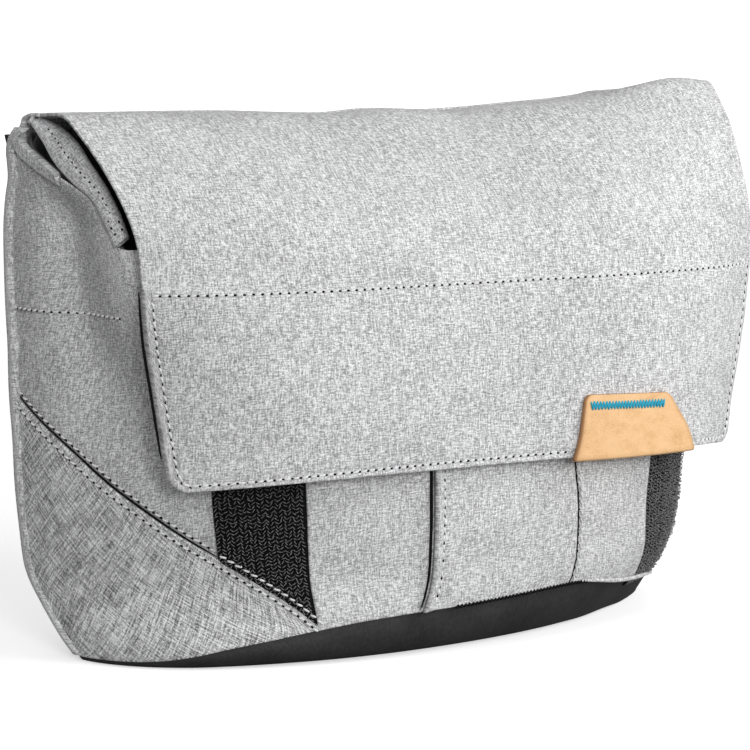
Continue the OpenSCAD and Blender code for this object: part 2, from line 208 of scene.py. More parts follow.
def flap_yz(p, q):
    p, q = np.broadcast_arrays(np.asarray(p, float), np.asarray(q, float))
    k = np.abs(p)**4
    out = []
    for axis in (0, 1):
        mid = smooth([(i / 8, FLAP_MID[i][axis]) for i in range(9)], q)
        edge = smooth([(i / 8, FLAP_EDGE[i][axis]) for i in range(9)], q)
        out.append(mix(mid, edge, k))
    return out


def flap(p, q, inset=0.0):
    """Flap's outer face: p runs across from -1 to 1, q down from the hinge to the bottom edge."""
    p, q = np.broadcast_arrays(np.asarray(p, float), np.asarray(q, float))
    y, z = flap_yz(p, q)
    q1 = np.minimum(q + .01, 1)
    y1, z1 = flap_yz(p, q1)
    y0, z0 = flap_yz(p, q1 - .01)
    run = np.hypot(y1 - y0, z1 - z0)
    return np.stack([p * flap_half(z), y - (z1 - z0) / run * inset, z + (y1 - y0) / run * inset], -1)


def flap_q(p, z):
    p, z = np.broadcast_arrays(np.asarray(p, float), np.asarray(z, float))
    lo, hi = np.full(z.shape, .1), np.full(z.shape, 1.0)
    for _ in range(24):
        m = (lo + hi) / 2
        above = flap_yz(p, m)[1] > z
        lo, hi = np.where(above, m, lo), np.where(above, hi, m)
    return (lo + hi) / 2


def flap_xz(x, z, inset=0.0):
    """The flap addressed by x and z, for what is sewn on its front."""
    p = np.asarray(x, float) / flap_half(z)
    return flap(p, flap_q(p, z), inset)


# ---------------------------------------------------------------------------
# How the stuffed fabric sits: one smooth shift of every point, so layers stay together
# ---------------------------------------------------------------------------
# How far the flap's top line sinks, and how far its right edge moves out: (x or z, mm)
TOP_SINK = [(-121, -3.0), (-60, -3.4), (-22, -4.8), (-4, -3.8), (18, -4.6), (50, -3.0), (78, -.9), (92, 2.6),
            (106, 5.0), (121, 3.8)]
RIGHT_EDGE = [(56, 1.9), (95, 1.8), (108, .8), (122, 0), (140, -2.0), (155, -2.6), (172, -3.0)]
LEFT_EDGE = [(100, 0), (118, .8), (130, 1.7), (158, 1.7), (166, .6), (172, 0)]
# How far the body's lower right side leans out (z, mm)
RIGHT_LEAN = [(3, -.8), (8, 1.2), (13, 2.4), (18, 1.9), (27, .3), (37, -1.0), (48, -1.4), (60, -1.5),
              (80, -.7), (107, 0)]


def soft(p, body=True):
    """Settles points of the bag into its slumped, slightly lopsided shape."""
    p = np.array(p, float)
    x, y, z = p[..., 0].copy(), p[..., 1].copy(), p[..., 2].copy()
    sink = smooth(TOP_SINK, x)
    # The raised right end dies out towards the hinge line, so that the flap can still turn over
    p[..., 2] += ease((z - 118) / 48) * np.where(sink > 0, sink * (1 - .85 * ease((y - 2) / 16)), sink)
    p[..., 0] += 1.0 * ease((-x - 90) / 30) * ease((z - 20) / 20)
    if body:
        p[..., 0] += smooth(RIGHT_LEAN, z) * ease((x - 30) / 80) * ease((x - 20) / 90)
        p[..., 2] += .7 * ease((x + 50) / 100) * (1 - ease((z - 4) / 40)) * ease((z + 1) / 5)
        p[..., 1] += .10 * np.clip(x, -85, 85) * (1 - ease(z / 28))
        p[..., 0] -= 1.6 * ease((-x - 55) / 45) * (1 - ease(z / 26))
        # The front right foot of the base lifts off the floor
        p[..., 2] += 3.6 * ease((x - 52) / 50) * (1 - ease((z - 1) / 13)) * ease((-y - 4) / 16)
        # The back's top corners stand out
        corner = ease((np.abs(x) - 88) / 22) * ease((z - 145) / 17) * ease((y - 18) / 14)
        p[..., 0] += 2.6 * np.sign(x) * corner
        p[..., 1] += 4.0 * corner
    else:
        p[..., 0] += smooth(RIGHT_EDGE, z) * ease((x - 40) / 70) + smooth(LEFT_EDGE, z) * ease((-x - 70) / 45)
    # Slack in the fabric
    flat = p.reshape(-1, 3)
    push = np.array([noise.noise(Vector((a / 52, b / 40 + 3.1, c / 46))) for a, b, c in flat])
    fine = np.array([noise.noise(Vector((a / 21 + 9, b / 30, c / 19))) for a, b, c in flat])
    amount = (1.5 * push + .45 * fine) * ease(flat[:, 2] / 25)
    out = np.stack([flat[:, 0] / 121.0, flat[:, 1] / 40.0, np.zeros(len(flat))], -1)
    out /= np.maximum(np.linalg.norm(out, axis=1, keepdims=True), .4)
    flat += out * amount[:, None]
    return flat.reshape(p.shape)


# ---------------------------------------------------------------------------
# Materials
# ---------------------------------------------------------------------------
def nodes_for(name):
    """A new material with a shader wired to its output."""
    mat = bpy.data.materials.new(name)
    mat.use_nodes = True
    tree = mat.node_tree
    tree.nodes.clear()
    out = tree.nodes.new("ShaderNodeOutputMaterial")
    bsdf = tree.nodes.new("ShaderNodeBsdfPrincipled")
    tree.links.new(bsdf.outputs[0], out.inputs[0])
    return mat, tree, bsdf


def add(tree, kind, inputs=None, **props):
    """Adds a node; each input is a value or another node's output."""
    node = tree.nodes.new(kind)
    for key, value in props.items():
        setattr(node, key, value)
    for key, value in (inputs or {}).items():
        if hasattr(value, "is_output"):
            tree.links.new(value, node.inputs[key])
        else:
            node.inputs[key].default_value = value
    return node


def math_node(tree, op, a, b, clamp=False):
    return add(tree, "ShaderNodeMath", {0: a, 1: b}, operation=op, use_clamp=clamp).outputs[0]


def stretched_noise(tree, coord, along, across, detail=2.0, seed=0.0):
    """Noise of threads: along and across are feature sizes in millimetres."""
    place = add(tree, "ShaderNodeMapping", {"Vector": coord, "Location": (seed, seed * 1.7, seed * .3),
                                            "Scale": (1 / along, 1 / across, 1)})
    return add(tree, "ShaderNodeTexNoise", {"Vector": place.outputs[0], "Scale": 1.0, "Detail": detail,
                                            "Roughness": .6}).outputs["Fac"]


def ramp(tree, fac, stops):
    node = add(tree, "ShaderNodeValToRGB", {"Fac": fac})
    elements = node.color_ramp.elements
    while len(elements) < len(stops):
        elements.new(.5)
    for e, (pos, colour) in zip(elements, stops):
        e.position = pos
        e.color = (*colour, 1)
    return node.outputs["Color"]


def grey(v):
    return (v, v * 1.003, v * 1.012)


def fabric_nodes(name):
    """A material whose shader reads the weave's own coordinates, in millimetres."""
    mat, tree, bsdf = nodes_for(name)
    return mat, tree, bsdf, add(tree, "ShaderNodeUVMap", uv_map="weave").outputs[0]


def surface(tree, bsdf, colour, height, bump, depth, rough, shine=.5, sheen=0.0):
    """Wires colour and relief into a shader and sets its even values."""
    tree.links.new(colour, bsdf.inputs["Base Color"])
    normal = add(tree, "ShaderNodeBump", {"Height": height, "Strength": bump, "Distance": depth})
    tree.links.new(normal.outputs[0], bsdf.inputs["Normal"])
    bsdf.inputs["Roughness"].default_value = rough
    bsdf.inputs["Specular IOR Level"].default_value = shine
    bsdf.inputs["Sheen Weight"].default_value = sheen


def weighted(tree, *parts):
    """Sum of sockets, each times its weight."""
    total = 0.0
    for socket, weight in parts:
        total = math_node(tree, "ADD", math_node(tree, "MULTIPLY", socket, weight), total)
    return total


def canvas(name, dark, mid, light, angle=0.0, thread=.5, length=6.0, bump=.25):
    """Heather canvas: long light and dark threads crossing at right angles."""
    mat, tree, bsdf, uv = fabric_nodes(name)
    turn = add(tree, "ShaderNodeMapping", {"Vector": uv, "Rotation": (0, 0, math.radians(angle))})
    coord = turn.outputs[0]
    warp = stretched_noise(tree, coord, thread, length, 3.0, 1.0)
    weft = stretched_noise(tree, coord, length, thread, 3.0, 7.0)
    speck = stretched_noise(tree, coord, thread * 1.3, thread * 1.3, 2.0, 3.0)
    cloud = stretched_noise(tree, coord, 26, 26, 2.0, 5.0)
    threads = math_node(tree, "ADD", warp, weft)
    tone = weighted(tree, (threads, .33), (speck, .28), (cloud, .06))
    spread = .075
    colour = ramp(tree, tone, [(.5 - spread, dark), (.5, mid), (.5 + spread, light)])
    surface(tree, bsdf, colour, weighted(tree, (threads, .7), (speck, 1.0)), bump, .0004, .88, .25, .12)
    return mat


def coated_fabric():
    """Charcoal coated fabric with a fine grain."""
    mat, tree, bsdf, uv = fabric_nodes("coated_base")
    grain = stretched_noise(tree, uv, .7, .7, 3.0, 2.0)
    cloud = stretched_noise(tree, uv, 18, 9, 2.0, 4.0)
    tone = weighted(tree, (grain, .5), (cloud, .5))
    colour = ramp(tree, tone, [(.35, grey(.014)), (.6, grey(.036)), (.8, grey(.056))])
    surface(tree, bsdf, colour, grain, .3, .0003, .55, .35)
    return mat


def plain_cloth(name, low, high, size=.5, rough=.8, sheen=.2, shine=.3):
    """Even cloth, tape or thread with a fine grain; low and high are its two tones."""
    mat, tree, bsdf, uv = fabric_nodes(name)
    fac = math_node(tree, "MULTIPLY", stretched_noise(tree, uv, size, size * 3, 2.0),
                    stretched_noise(tree, uv, size * 3, size, 2.0, 4.0))
    surface(tree, bsdf, ramp(tree, fac, [(.12, low), (.42, high)]), fac, .35, .0004, rough, shine, sheen)
    return mat


def webbing():
    """Nylon webbing: ribs run across the tape."""
    mat, tree, bsdf, uv = fabric_nodes("webbing")
    wave = add(tree, "ShaderNodeTexWave", {"Vector": uv, "Scale": .28, "Distortion": .4},
               bands_direction="DIAGONAL").outputs["Fac"]
    fac = math_node(tree, "MULTIPLY", wave, stretched_noise(tree, uv, .4, 1.2, 2.0))
    surface(tree, bsdf, ramp(tree, fac, [(.1, grey(.006)), (.6, grey(.035))]), fac, .6, .0005, .6)
    return mat


def leather():
    """Smooth tan leather with fine pores; its cut edges are worn darker, and the same mask carries painted
    shade down one side.
    """
    mat, tree, bsdf, uv = fabric_nodes("leather")
    pores = add(tree, "ShaderNodeTexVoronoi", {"Vector": uv, "Scale": 1.6},
                feature="DISTANCE_TO_EDGE").outputs[0]
    cloud = stretched_noise(tree, uv, 7, 5, 3.0)
    fleck = stretched_noise(tree, uv, .6, .5, 2.0, 6.0)
    tone = weighted(tree, (cloud, .6), (fleck, .4))
    edge = add(tree, "ShaderNodeAttribute", attribute_name="edge_wear_and_shade").outputs["Fac"]
    darker = add(tree, "ShaderNodeMix", {"Factor": edge}, data_type="RGBA")
    tree.links.new(ramp(tree, tone, [(.3, (.66, .38, .16)), (.5, (.84, .52, .26)), (.72, (.92, .60, .33))]),
                   darker.inputs["A"])
    darker.inputs["B"].default_value = (.30, .13, .045, 1)
    height = weighted(tree, (pores, .4), (fleck, 1.0))
    surface(tree, bsdf, darker.outputs["Result"], height, .16, .0003, .52, .4)
    return mat


CANVAS = canvas("canvas", grey(.26), grey(.54), grey(.88), thread=.40, length=2.4)
BIAS = canvas("bias_canvas", grey(.14), grey(.52), grey(.95), angle=45, thread=.46, length=7, bump=.4)
BASE = coated_fabric()
LINING = plain_cloth("lining", grey(.16), grey(.24))
STRETCH = plain_cloth("stretch", grey(.07), grey(.14), .4)
FOAM = plain_cloth("foam", grey(.62), grey(.74), 1.0)
LOOP = plain_cloth("loop_tape", grey(.002), grey(.008), .5, .8, 0.0, .08)
# The loops' light tone stands for glints on black nylon: painted highlight
PILE_WITH_PAINTED_GLINTS = plain_cloth("loop_pile", grey(.004), grey(.34), .3, .5, .2)
WEBBING = webbing()
LEATHER = leather()
THREAD = plain_cloth("grey_thread", grey(.62), grey(.92), .3, .7)
# Near-black cloth: real dark thread on the base seam, and painted shade in needle holes and in the gaps
# beside folds and seams
DARK_THREAD_AND_SHADE = plain_cloth("dark_thread_and_shade", grey(.004), grey(.02), .3, .9, 0.0, .04)
BLUE_THREAD = plain_cloth("blue_thread", (.01, .28, .44), (.03, .50, .66), .3, .6)
BOARD = plain_cloth("board", grey(.02), grey(.035), 2.0, .5, 0.0)


# ---------------------------------------------------------------------------
# Building sheets of fabric
# ---------------------------------------------------------------------------
def grid(a0, a1, cols, b0, b1, rows, cluster=False):
    """Two arrays of parameters; b0 and b1 may be functions of a. Rows go up, columns to the right."""
    t = np.linspace(0, 1, cols + 1)
    if cluster:
        t = (1 - np.cos(np.pi * t)) / 2 * .8 + t * .2
    a = mix(a0, a1, t)
    low = b0(a) if callable(b0) else np.full(a.shape, float(b0))
    high = b1(a) if callable(b1) else np.full(a.shape, float(b1))
    s = np.linspace(0, 1, rows + 1)[:, None]
    return np.broadcast_to(a, (rows + 1, cols + 1)).copy(), mix(low, high, s)


def run_lengths(p):
    """Distances in millimetres along rows and up columns, for the weave's coordinates."""
    along = np.linalg.norm(np.diff(p, axis=1), axis=2)
    s = np.concatenate([np.zeros((len(p), 1)), np.cumsum(along, axis=1)], 1)
    s -= s[:, s.shape[1] // 2][:, None]
    up = np.linalg.norm(np.diff(p, axis=0), axis=2)
    t = np.concatenate([np.zeros((1, p.shape[1])), np.cumsum(up, axis=0)], 0)
    return np.stack([s, t], -1)


def make_mesh(name, verts, faces, uvs, material):
    """An object from millimetre vertices and their weave coordinates."""
    mesh = bpy.data.meshes.new(name)
    mesh.from_pydata((np.asarray(verts) * MM).tolist(), [], faces)
    layer = mesh.uv_layers.new(name="weave")
    index = np.zeros(len(mesh.loops), np.int32)
    mesh.loops.foreach_get("vertex_index", index)
    layer.data.foreach_set("uv", np.asarray(uvs, np.float32)[index].ravel())
    mesh.materials.append(material)
    mesh.polygons.foreach_set("use_smooth", np.ones(len(mesh.polygons), bool))
    mesh.update()
    obj = bpy.data.objects.new(name, mesh)
    bpy.context.scene.collection.objects.link(obj)
    return obj


RIM_ANGLES = np.radians([45, 90, 135])


def closed_sheet(outer, inner, uv):
    """Vertices, faces and coordinates of a sheet with rounded edges, between two grids."""
    rows, cols = outer.shape[0], outer.shape[1]
    ids = np.arange(rows * cols).reshape(rows, cols)
    loop = ([(0, c) for c in range(cols)] + [(r, cols - 1) for r in range(1, rows)]
            + [(rows - 1, c) for c in range(cols - 2, -1, -1)] + [(r, 0) for r in range(rows - 2, 0, -1)])
    br = np.array([b[0] for b in loop])
    bc = np.array([b[1] for b in loop])
    nr, nc = np.clip(br, 1, rows - 2), np.clip(bc, 1, cols - 2)
    o, i = outer.copy(), inner.copy()
    middle = (outer[br, bc] + inner[br, bc]) / 2
    inside = (outer[nr, nc] + inner[nr, nc]) / 2
    out = middle - inside
    gap = np.linalg.norm(out, axis=1, keepdims=True)
    out /= np.maximum(gap, 1e-9)
    half = (outer[br, bc] - inner[br, bc]) / 2
    round_by = np.minimum(np.linalg.norm(half, axis=1, keepdims=True), gap * .45)
    o[br, bc] -= out * round_by
    i[br, bc] -= out * round_by
    count = rows * cols
    verts = [o.reshape(-1, 3), i.reshape(-1, 3)]
    for t in RIM_ANGLES:
        verts.append(middle - out * round_by * (1 - math.sin(t)) + half * math.cos(t))
    quads = [ids[:-1, :-1], ids[:-1, 1:], ids[1:, 1:], ids[1:, :-1]]
    faces = np.stack(quads, -1).reshape(-1, 4)
    faces = [faces, faces[:, ::-1] + count]
    rings = [ids[br, bc]]
    for k in range(len(RIM_ANGLES)):
        rings.append(2 * count + k * len(loop) + np.arange(len(loop)))
    rings.append(ids[br, bc] + count)
    for a, b in zip(rings, rings[1:]):
        nxt_a, nxt_b = np.roll(a, -1), np.roll(b, -1)
        faces.append(np.stack([nxt_a, a, b, nxt_b], -1))
    flat = uv.reshape(-1, 2)
    edge_uv = uv[br, bc]
    uvs = np.concatenate([flat, flat] + [edge_uv] * len(RIM_ANGLES))
    return np.concatenate(verts), np.concatenate(faces).tolist(), uvs


def dip_field(points, seams):
    """How far the fabric is pulled in near its seams; each seam is (points, depth, width)."""
    flat = points.reshape(-1, 3)
    total = np.zeros(len(flat))
    for seam, depth, width in seams:
        tree = kdtree.KDTree(len(seam))
        for k, co in enumerate(seam):
            tree.insert(co, k)
        tree.balance()
        near = np.array([tree.find(co)[2] for co in flat])
        total = np.maximum(total, depth * np.exp(-(near / width)**2))
    return total.reshape(points.shape[:-1])


# Skins of the flap, which settles without the body's own shifts
FLAP_SKINS = [flap, flap_xz]


def settle(skin, p):
    return soft(p, skin not in FLAP_SKINS)


def sheet(name, skin, params, top, bottom, material, seams=(), puff=None):
    """A closed sheet on a skin function, from inset top (outer face) to inset bottom."""
    a, b = params
    face = skin(a, b, top)
    lift = np.zeros(a.shape)
    if seams:
        lift = lift + dip_field(face, seams)
    if puff is not None:
        lift = lift - puff(a, b)
    outer = settle(skin, skin(a, b, top + lift))
    inner = settle(skin, skin(a, b, bottom + np.minimum(lift, 0) * .5))
    verts, faces, uvs = closed_sheet(outer, inner, run_lengths(face))
    return make_mesh(name, verts, faces, uvs, material)


def unit(v):
    """Vectors scaled to length one."""
    return v / np.maximum(np.linalg.norm(v, axis=-1, keepdims=True), 1e-9)


def tube_sides(rows, sides, first=0):
    """Quads between rings of points, from vertex number first on."""
    faces = []
    for r in range(rows - 1):
        for c in range(sides):
            low, high = first + r * sides, first + (r + 1) * sides
            n = (c + 1) % sides
            faces.append((low + c, low + n, high + n, high + c))
    return faces


def flipped(faces, flip=True):
    """Faces turned inside out, where flip says so."""
    return [f[::-1] for f in faces] if flip else faces


def caps(sides, first, last):
    """The two ends of a tube, from the first vertices of its end rings."""
    return [tuple(range(first, first + sides))[::-1], tuple(range(last, last + sides))]


def tube_faces(rows, sides, flip=False):
    """Faces of a closed tube."""
    return flipped(tube_sides(rows, sides) + caps(sides, 0, (rows - 1) * sides), flip)


def rim_faces(a, b, sides):
    """Quads between two rings, given by their first vertices."""
    return [(a + c, a + (c + 1) % sides, b + (c + 1) % sides, b + c) for c in range(sides)]


def hollow_faces(rows, sides, flip):
    """Faces of an open tube; the rings of its inner wall follow those of its outer wall."""
    count = rows * sides
    walls = tube_sides(rows, sides) + flipped(tube_sides(rows, sides, count))
    rims = flipped(rim_faces(0, count, sides)) + rim_faces(count - sides, 2 * count - sides, sides)
    return flipped(walls + rims, flip)


def ring_uv(around, along):
    """Weave coordinates of rings of points: millimetres around them and along the tube."""
    return np.stack(np.broadcast_arrays(around, np.asarray(along)[:, None]), -1).reshape(-1, 2)


def resample(points, above, step):
    """Evenly spaced points along a path, with the path's direction and outward side at each."""
    seg = np.linalg.norm(np.diff(points, axis=0), axis=1)
    run = np.concatenate([[0], np.cumsum(seg)])
    n = max(int(run[-1] / step), 1)
    at = (np.arange(n) + .5) * run[-1] / n

    def read(values, where):
        return np.stack([np.interp(where, run, values[:, k]) for k in range(3)], -1)
    pos = read(points, at)
    way = unit(read(points, at + .3) - read(points, at - .3))
    up = read(above, at) - pos
    return pos, way, unit(up - way * np.sum(up * way, axis=1, keepdims=True))


def capsule(length, radius, sides=6):
    """A stitch lying along X: rings of a rounded bar that dives in at both ends."""
    half = [(.5, .25, -.9), (.42, .8, -.35), (.2, 1, .12)]
    stations = [(-along, size, lift) for along, size, lift in half] + half[::-1]
    verts = []
    for along, size, lift in stations:
        for t in np.linspace(0, 2 * math.pi, sides, endpoint=False):
            verts.append((along * length, radius * size * math.cos(t), radius * (size * math.sin(t) + lift)))
    return np.array(verts), tube_faces(len(stations), sides, True)


def laid(skin, a, b, inset):
    """Settled points of the path (a, b) on a skin, and the points 1 mm above them."""
    return settle(skin, skin(a, b, inset)), settle(skin, skin(a, b, inset - 1.0))


def stitch_row(skin, a, b, inset, pitch=2.7, length=2.15, radius=.38, slant=14.0):
    """Stitches along the path (a, b) on a skin; returns vertices, faces and coordinates."""
    pos, way, out = resample(*laid(skin, a, b, inset), pitch)
    base, base_faces = capsule(length, radius)
    verts, faces = [], []
    for p, w, up in zip(pos, way, out):
        side = np.cross(up, w)
        t = math.radians(slant + rng.uniform(-4, 4))
        along = w * math.cos(t) + side * math.sin(t)
        across = side * math.cos(t) - w * math.sin(t)
        size = rng.uniform(.92, 1.08)
        offset = len(verts) * len(base)
        verts.append(p + base[:, :1] * along * size + base[:, 1:2] * across + base[:, 2:] * up)
        faces += [tuple(i + offset for i in f) for f in base_faces]
    verts = np.concatenate(verts)
    return verts, faces, np.stack([verts[:, 0] + verts[:, 1], verts[:, 2]], -1)


def hole_shade_row(skin, a, b, inset, pitch=2.7, radius=.43):
    """Needle holes between the stitches of a row, drawn as small dark disks of painted shade."""
    verts, faces = [], []
    for p, w, up in zip(*resample(*laid(skin, a, b, inset), pitch)):
        side = np.cross(up, w)
        base = len(verts)
        centre = p + w * pitch / 2
        for k in range(8):
            t = math.pi * k / 4
            verts.append(centre + radius * (1.25 * math.cos(t) * w + .8 * math.sin(t) * side) + up * .02)
            faces.append((base + k, base + (k + 1) % 8, base + 8))
        verts.append(centre + up * .1)
        faces.append(tuple(base + k for k in range(7, -1, -1)))
    verts = np.array(verts)
    return verts, faces, verts[:, [0, 2]]


def path_frame(path, above):
    """Outward and sideways directions at each point of a path."""
    out = unit(above - path)
    return out, np.cross(out, unit(np.gradient(path, axis=0)))


def gap_shade_line(skin, a, b, inset, width):
    """Painted shadow of the gap beside a fold or seam: a narrow dark ribbon along the path (a, b)."""
    path, above = laid(skin, a, b, inset)
    out, side = path_frame(path, above)
    share = np.sin(np.linspace(0, math.pi, len(path)))**.25
    half = (width / 2 * share)[:, None]
    rings = [path + side * half + out * .05, path + out * .16,
             path - side * half + out * .05, path - out * .25]
    verts = np.stack(rings, 1).reshape(-1, 3)
    return verts, tube_faces(len(path), 4, True), verts[:, [0, 2]]


def joined(name, parts, material):
    """One object from several (vertices, faces, coordinates) groups."""
    verts, faces, uvs, base = [], [], [], 0
    for v, f, uv in parts:
        verts.append(v)
        faces += [tuple(i + base for i in face) for face in f]
        uvs.append(uv)
        base += len(v)
    return make_mesh(name, np.concatenate(verts), faces, np.concatenate(uvs), material)


def thread_pieces(word, rows, dark):
    """The stitches of one place as one piece, and the painted shade of its needle holes and gaps as another.
    """
    return joined(word + "_stitches", rows, THREAD), joined(word + "_holes", dark, DARK_THREAD_AND_SHADE)


def finish_piece(obj, body, slot, *nodes):
    """Hides the CAD nodes that a piece replaces and attaches the piece to its body; slot is not used."""
    if nodes:
        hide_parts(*nodes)
    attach(obj, body)


# ---------------------------------------------------------------------------
# The body
# ---------------------------------------------------------------------------
def corner_z(u, tip):
    """Upper edge of a corner panel, which runs up from its tip to the back edge."""
    return mix(SEAM_FRONT_Z - 2.5, CORNER_TOP_Z, (np.maximum(np.abs(u) - tip, 0) / (1 - tip))**.79)


LEFT_TIP = float(turn_at(STRIP_LEFT_X, MID_Z)) - .014
RIGHT_TIP = float(turn_at(STRIP_RIGHT_X + 29, MID_Z))
WALL_IN = CANVAS_T + FOAM_T + LINING_T + 2 * PLY


def side_valley(u, z):
    """The side walls sink between the stiff mouth and the stuffed corner."""
    off = np.abs(u) - .72
    across = np.exp(-(off / np.where(off > 0, .10, .13))**2)
    return -8.5 * across * ease((z - 50) / 50) * (1 - ease((z - 132) / 20))


def wall_with_valley(u, z, inset=0.0):
    return padded_wall(u, z, inset - side_valley(u, z))


def corner_seam(tip, side, n=120):
    """Turns and heights along a corner panel's upper edge."""
    u = np.linspace(tip + .004, .985, n)
    return side * u, corner_z(u, tip)


def sew(word, rows, dark):
    """Adds stitches, with the painted shade of their needle holes and gaps, to the body."""
    for piece in thread_pieces(word, rows, dark):
        finish_piece(piece, "body", "canvas")


def build_walls():
    """The canvas wall, its padding and its lining, with dips along the sewn lines."""
    seams = []
    for side, tip in ((-1, LEFT_TIP), (1, RIGHT_TIP)):
        u, z = corner_seam(tip, side)
        seams.append((wall(u, z + .8), .7, 1.6))
        seams.append((wall(side * np.linspace(.97, .62, 60), np.full(60, FLANK_SEAM_Z)), .35, 1.3))
    piece = sheet("wall_canvas", wall_with_valley, grid(-1, 1, 280, lambda u: seam_z(u) - .6, mouth_z, 100),
                  0, CANVAS_T, CANVAS, seams)
    finish_piece(piece, "body", "canvas", "wrap_panel")
    area = grid(-1, 1, 96, lambda u: seam_z(u) + 2, lambda u: mouth_z(u) - 2.5, 28)
    padding = sheet("wall_padding", wall_with_valley, area, CANVAS_T + .1, CANVAS_T + FOAM_T, FOAM)
    finish_piece(padding, "body", "foam", "wrap_foam")
    area = grid(-1, 1, 140, lambda u: seam_z(u) + 1.5, lambda u: mouth_z(u) - .6, 50)
    inner = sheet("wall_lining", wall_with_valley, area, CANVAS_T + FOAM_T + .15, WALL_IN, LINING)
    finish_piece(inner, "body", "lining", "wrap_lining")


def build_corners():
    """Bias-cut corner panels, sewn along their upper edge, and the short row across each side wall."""
    right_end = STRIP_RIGHT_X + STRIP_W + RIGHT_STRIP_EXTRA + 1
    for side, tip, word, tape_end in ((-1, LEFT_TIP, "left", STRIP_LEFT_X + STRIP_W),
                                      (1, RIGHT_TIP, "right", right_end)):
        a, b = grid(tip + .006, .99, 110, lambda u: seam_z(side * u) - .2,
                    lambda u: corner_z(u, tip) + .2, 44)
        if side < 0:
            a, b = -a[:, ::-1], b[:, ::-1]
        u, z = corner_seam(tip, side)
        piece = sheet(word + "_corner_canvas", wall_with_valley, (a, b), -1.0, -.05, BIAS,
                      [(wall(u, z - 2.4), .4, 1.0)])
        finish_piece(piece, "body", "bias_canvas", word + "_corner_panel")
        on_tape = u * side <= turn_at(tape_end, MID_Z)
        flank = (side * np.linspace(.99, .60, 60), np.full(60, FLANK_SEAM_Z))
        lines = [(u[2:], z[2:] - 2.3, -1.12), (u[~on_tape], z[~on_tape] + 2.2, -.12)]
        rows = [stitch_row(wall_with_valley, *line) for line in lines]
        rows.append(stitch_row(wall_with_valley, u[on_tape], z[on_tape] + 2.2, -1.5, radius=.34))
        rows.append(stitch_row(wall_with_valley, *flank, -.1))
        # Needle-hole disks and a dark ribbon along the panel's folded edge are painted shade
        dark = [hole_shade_row(wall_with_valley, *line) for line in lines + [(*flank, -.02)]]
        dark.append(gap_shade_line(wall_with_valley, u[~on_tape], z[~on_tape] + .75, -.02, .75))
        sew(word + "_corner", rows, dark)


# How far the right strip's foot leans out (z, mm)
RIGHT_FOOT = [(12, 9.5), (20, 8.0), (30, 5.4), (42, 2.4), (56, 0), (107, 0)]


def leaning(x, z, inset=0.0):
    """The front wall with the lines of its right strip leaning out towards the foot."""
    return front(x + ease((x - 42) / (STRIP_RIGHT_X - 42)) * smooth(RIGHT_FOOT, z), z, inset)


def build_strips():
    """Loop tape down both sides of the pocket, under the corner panels at its foot."""
    for side, x0, tip, word in ((-1, STRIP_LEFT_X, LEFT_TIP, "left"), (1, STRIP_RIGHT_X, RIGHT_TIP, "right")):
        def low(x):
            return corner_z(turn_at(np.abs(x) + (9.0 if side > 0 else 0), MID_Z), tip) - .8
        ends = (-x0 - STRIP_W, -x0 - .1) if side < 0 else (x0 + .1, x0 + STRIP_W + RIGHT_STRIP_EXTRA)
        piece = sheet(word + "_loop_tape", leaning, grid(*ends, 26, low, TAPE_TOP_Z, 60), -1.0, .05, LOOP)
        finish_piece(piece, "body", "fastener", word + "_loop_strip")
        finish_piece(joined(word + "_loop_pile", [loop_pile(ends, low)], PILE_WITH_PAINTED_GLINTS), "body", "fastener")


def loop_pile(ends, low):
    """Rows of small thread loops that lean left and right in turn, as in woven loop tape."""
    pitch_x, pitch_z = 1.2, 1.15
    reach, thick, coarse_x = .66, .165, 82
    arc = [(math.cos(t), math.sin(t)) for t in np.linspace(0, math.pi, 4)]
    xs, zs, leans = [], [], []
    for col, x in enumerate(np.arange(ends[0] + .8, ends[1] - .4, pitch_x)):
        for z in np.arange(float(low(np.array(x))) + 1.0, TAPE_TOP_Z - 1, pitch_z):
            xs.append(x + rng.uniform(-.22, .22))
            zs.append(z + rng.uniform(-.22, .22))
            leans.append(math.radians((42 if col % 2 else -42) + rng.uniform(-22, 22)))
    xs, zs = np.array(xs), np.array(zs)
    at = soft(leaning(xs, zs, -.95))
    up = unit(soft(leaning(xs, zs, -1.95)) - at)
    side = unit(soft(leaning(xs + .5, zs, -.95)) - at)
    tall = np.cross(side, up)
    verts, faces = [], []
    for k in range(len(xs)):
        way = side[k] * math.cos(leans[k]) + tall[k] * math.sin(leans[k])
        flat = np.cross(way, up[k])
        rise = rng.uniform(.45, .85) * (1.7 if xs[k] > coarse_x else 1)
        faces += tube_sides(len(arc), 3, len(verts))
        for c, s in arc:
            centre = at[k] + way * reach * c + up[k] * rise * s
            spread = way * c + up[k] * s
            for m in range(3):
                t = 2 * math.pi * m / 3
                verts.append(centre + thick * (spread * math.cos(t) + flat * math.sin(t)))
    verts = np.array(verts)
    return verts, faces, verts[:, [0, 2]]


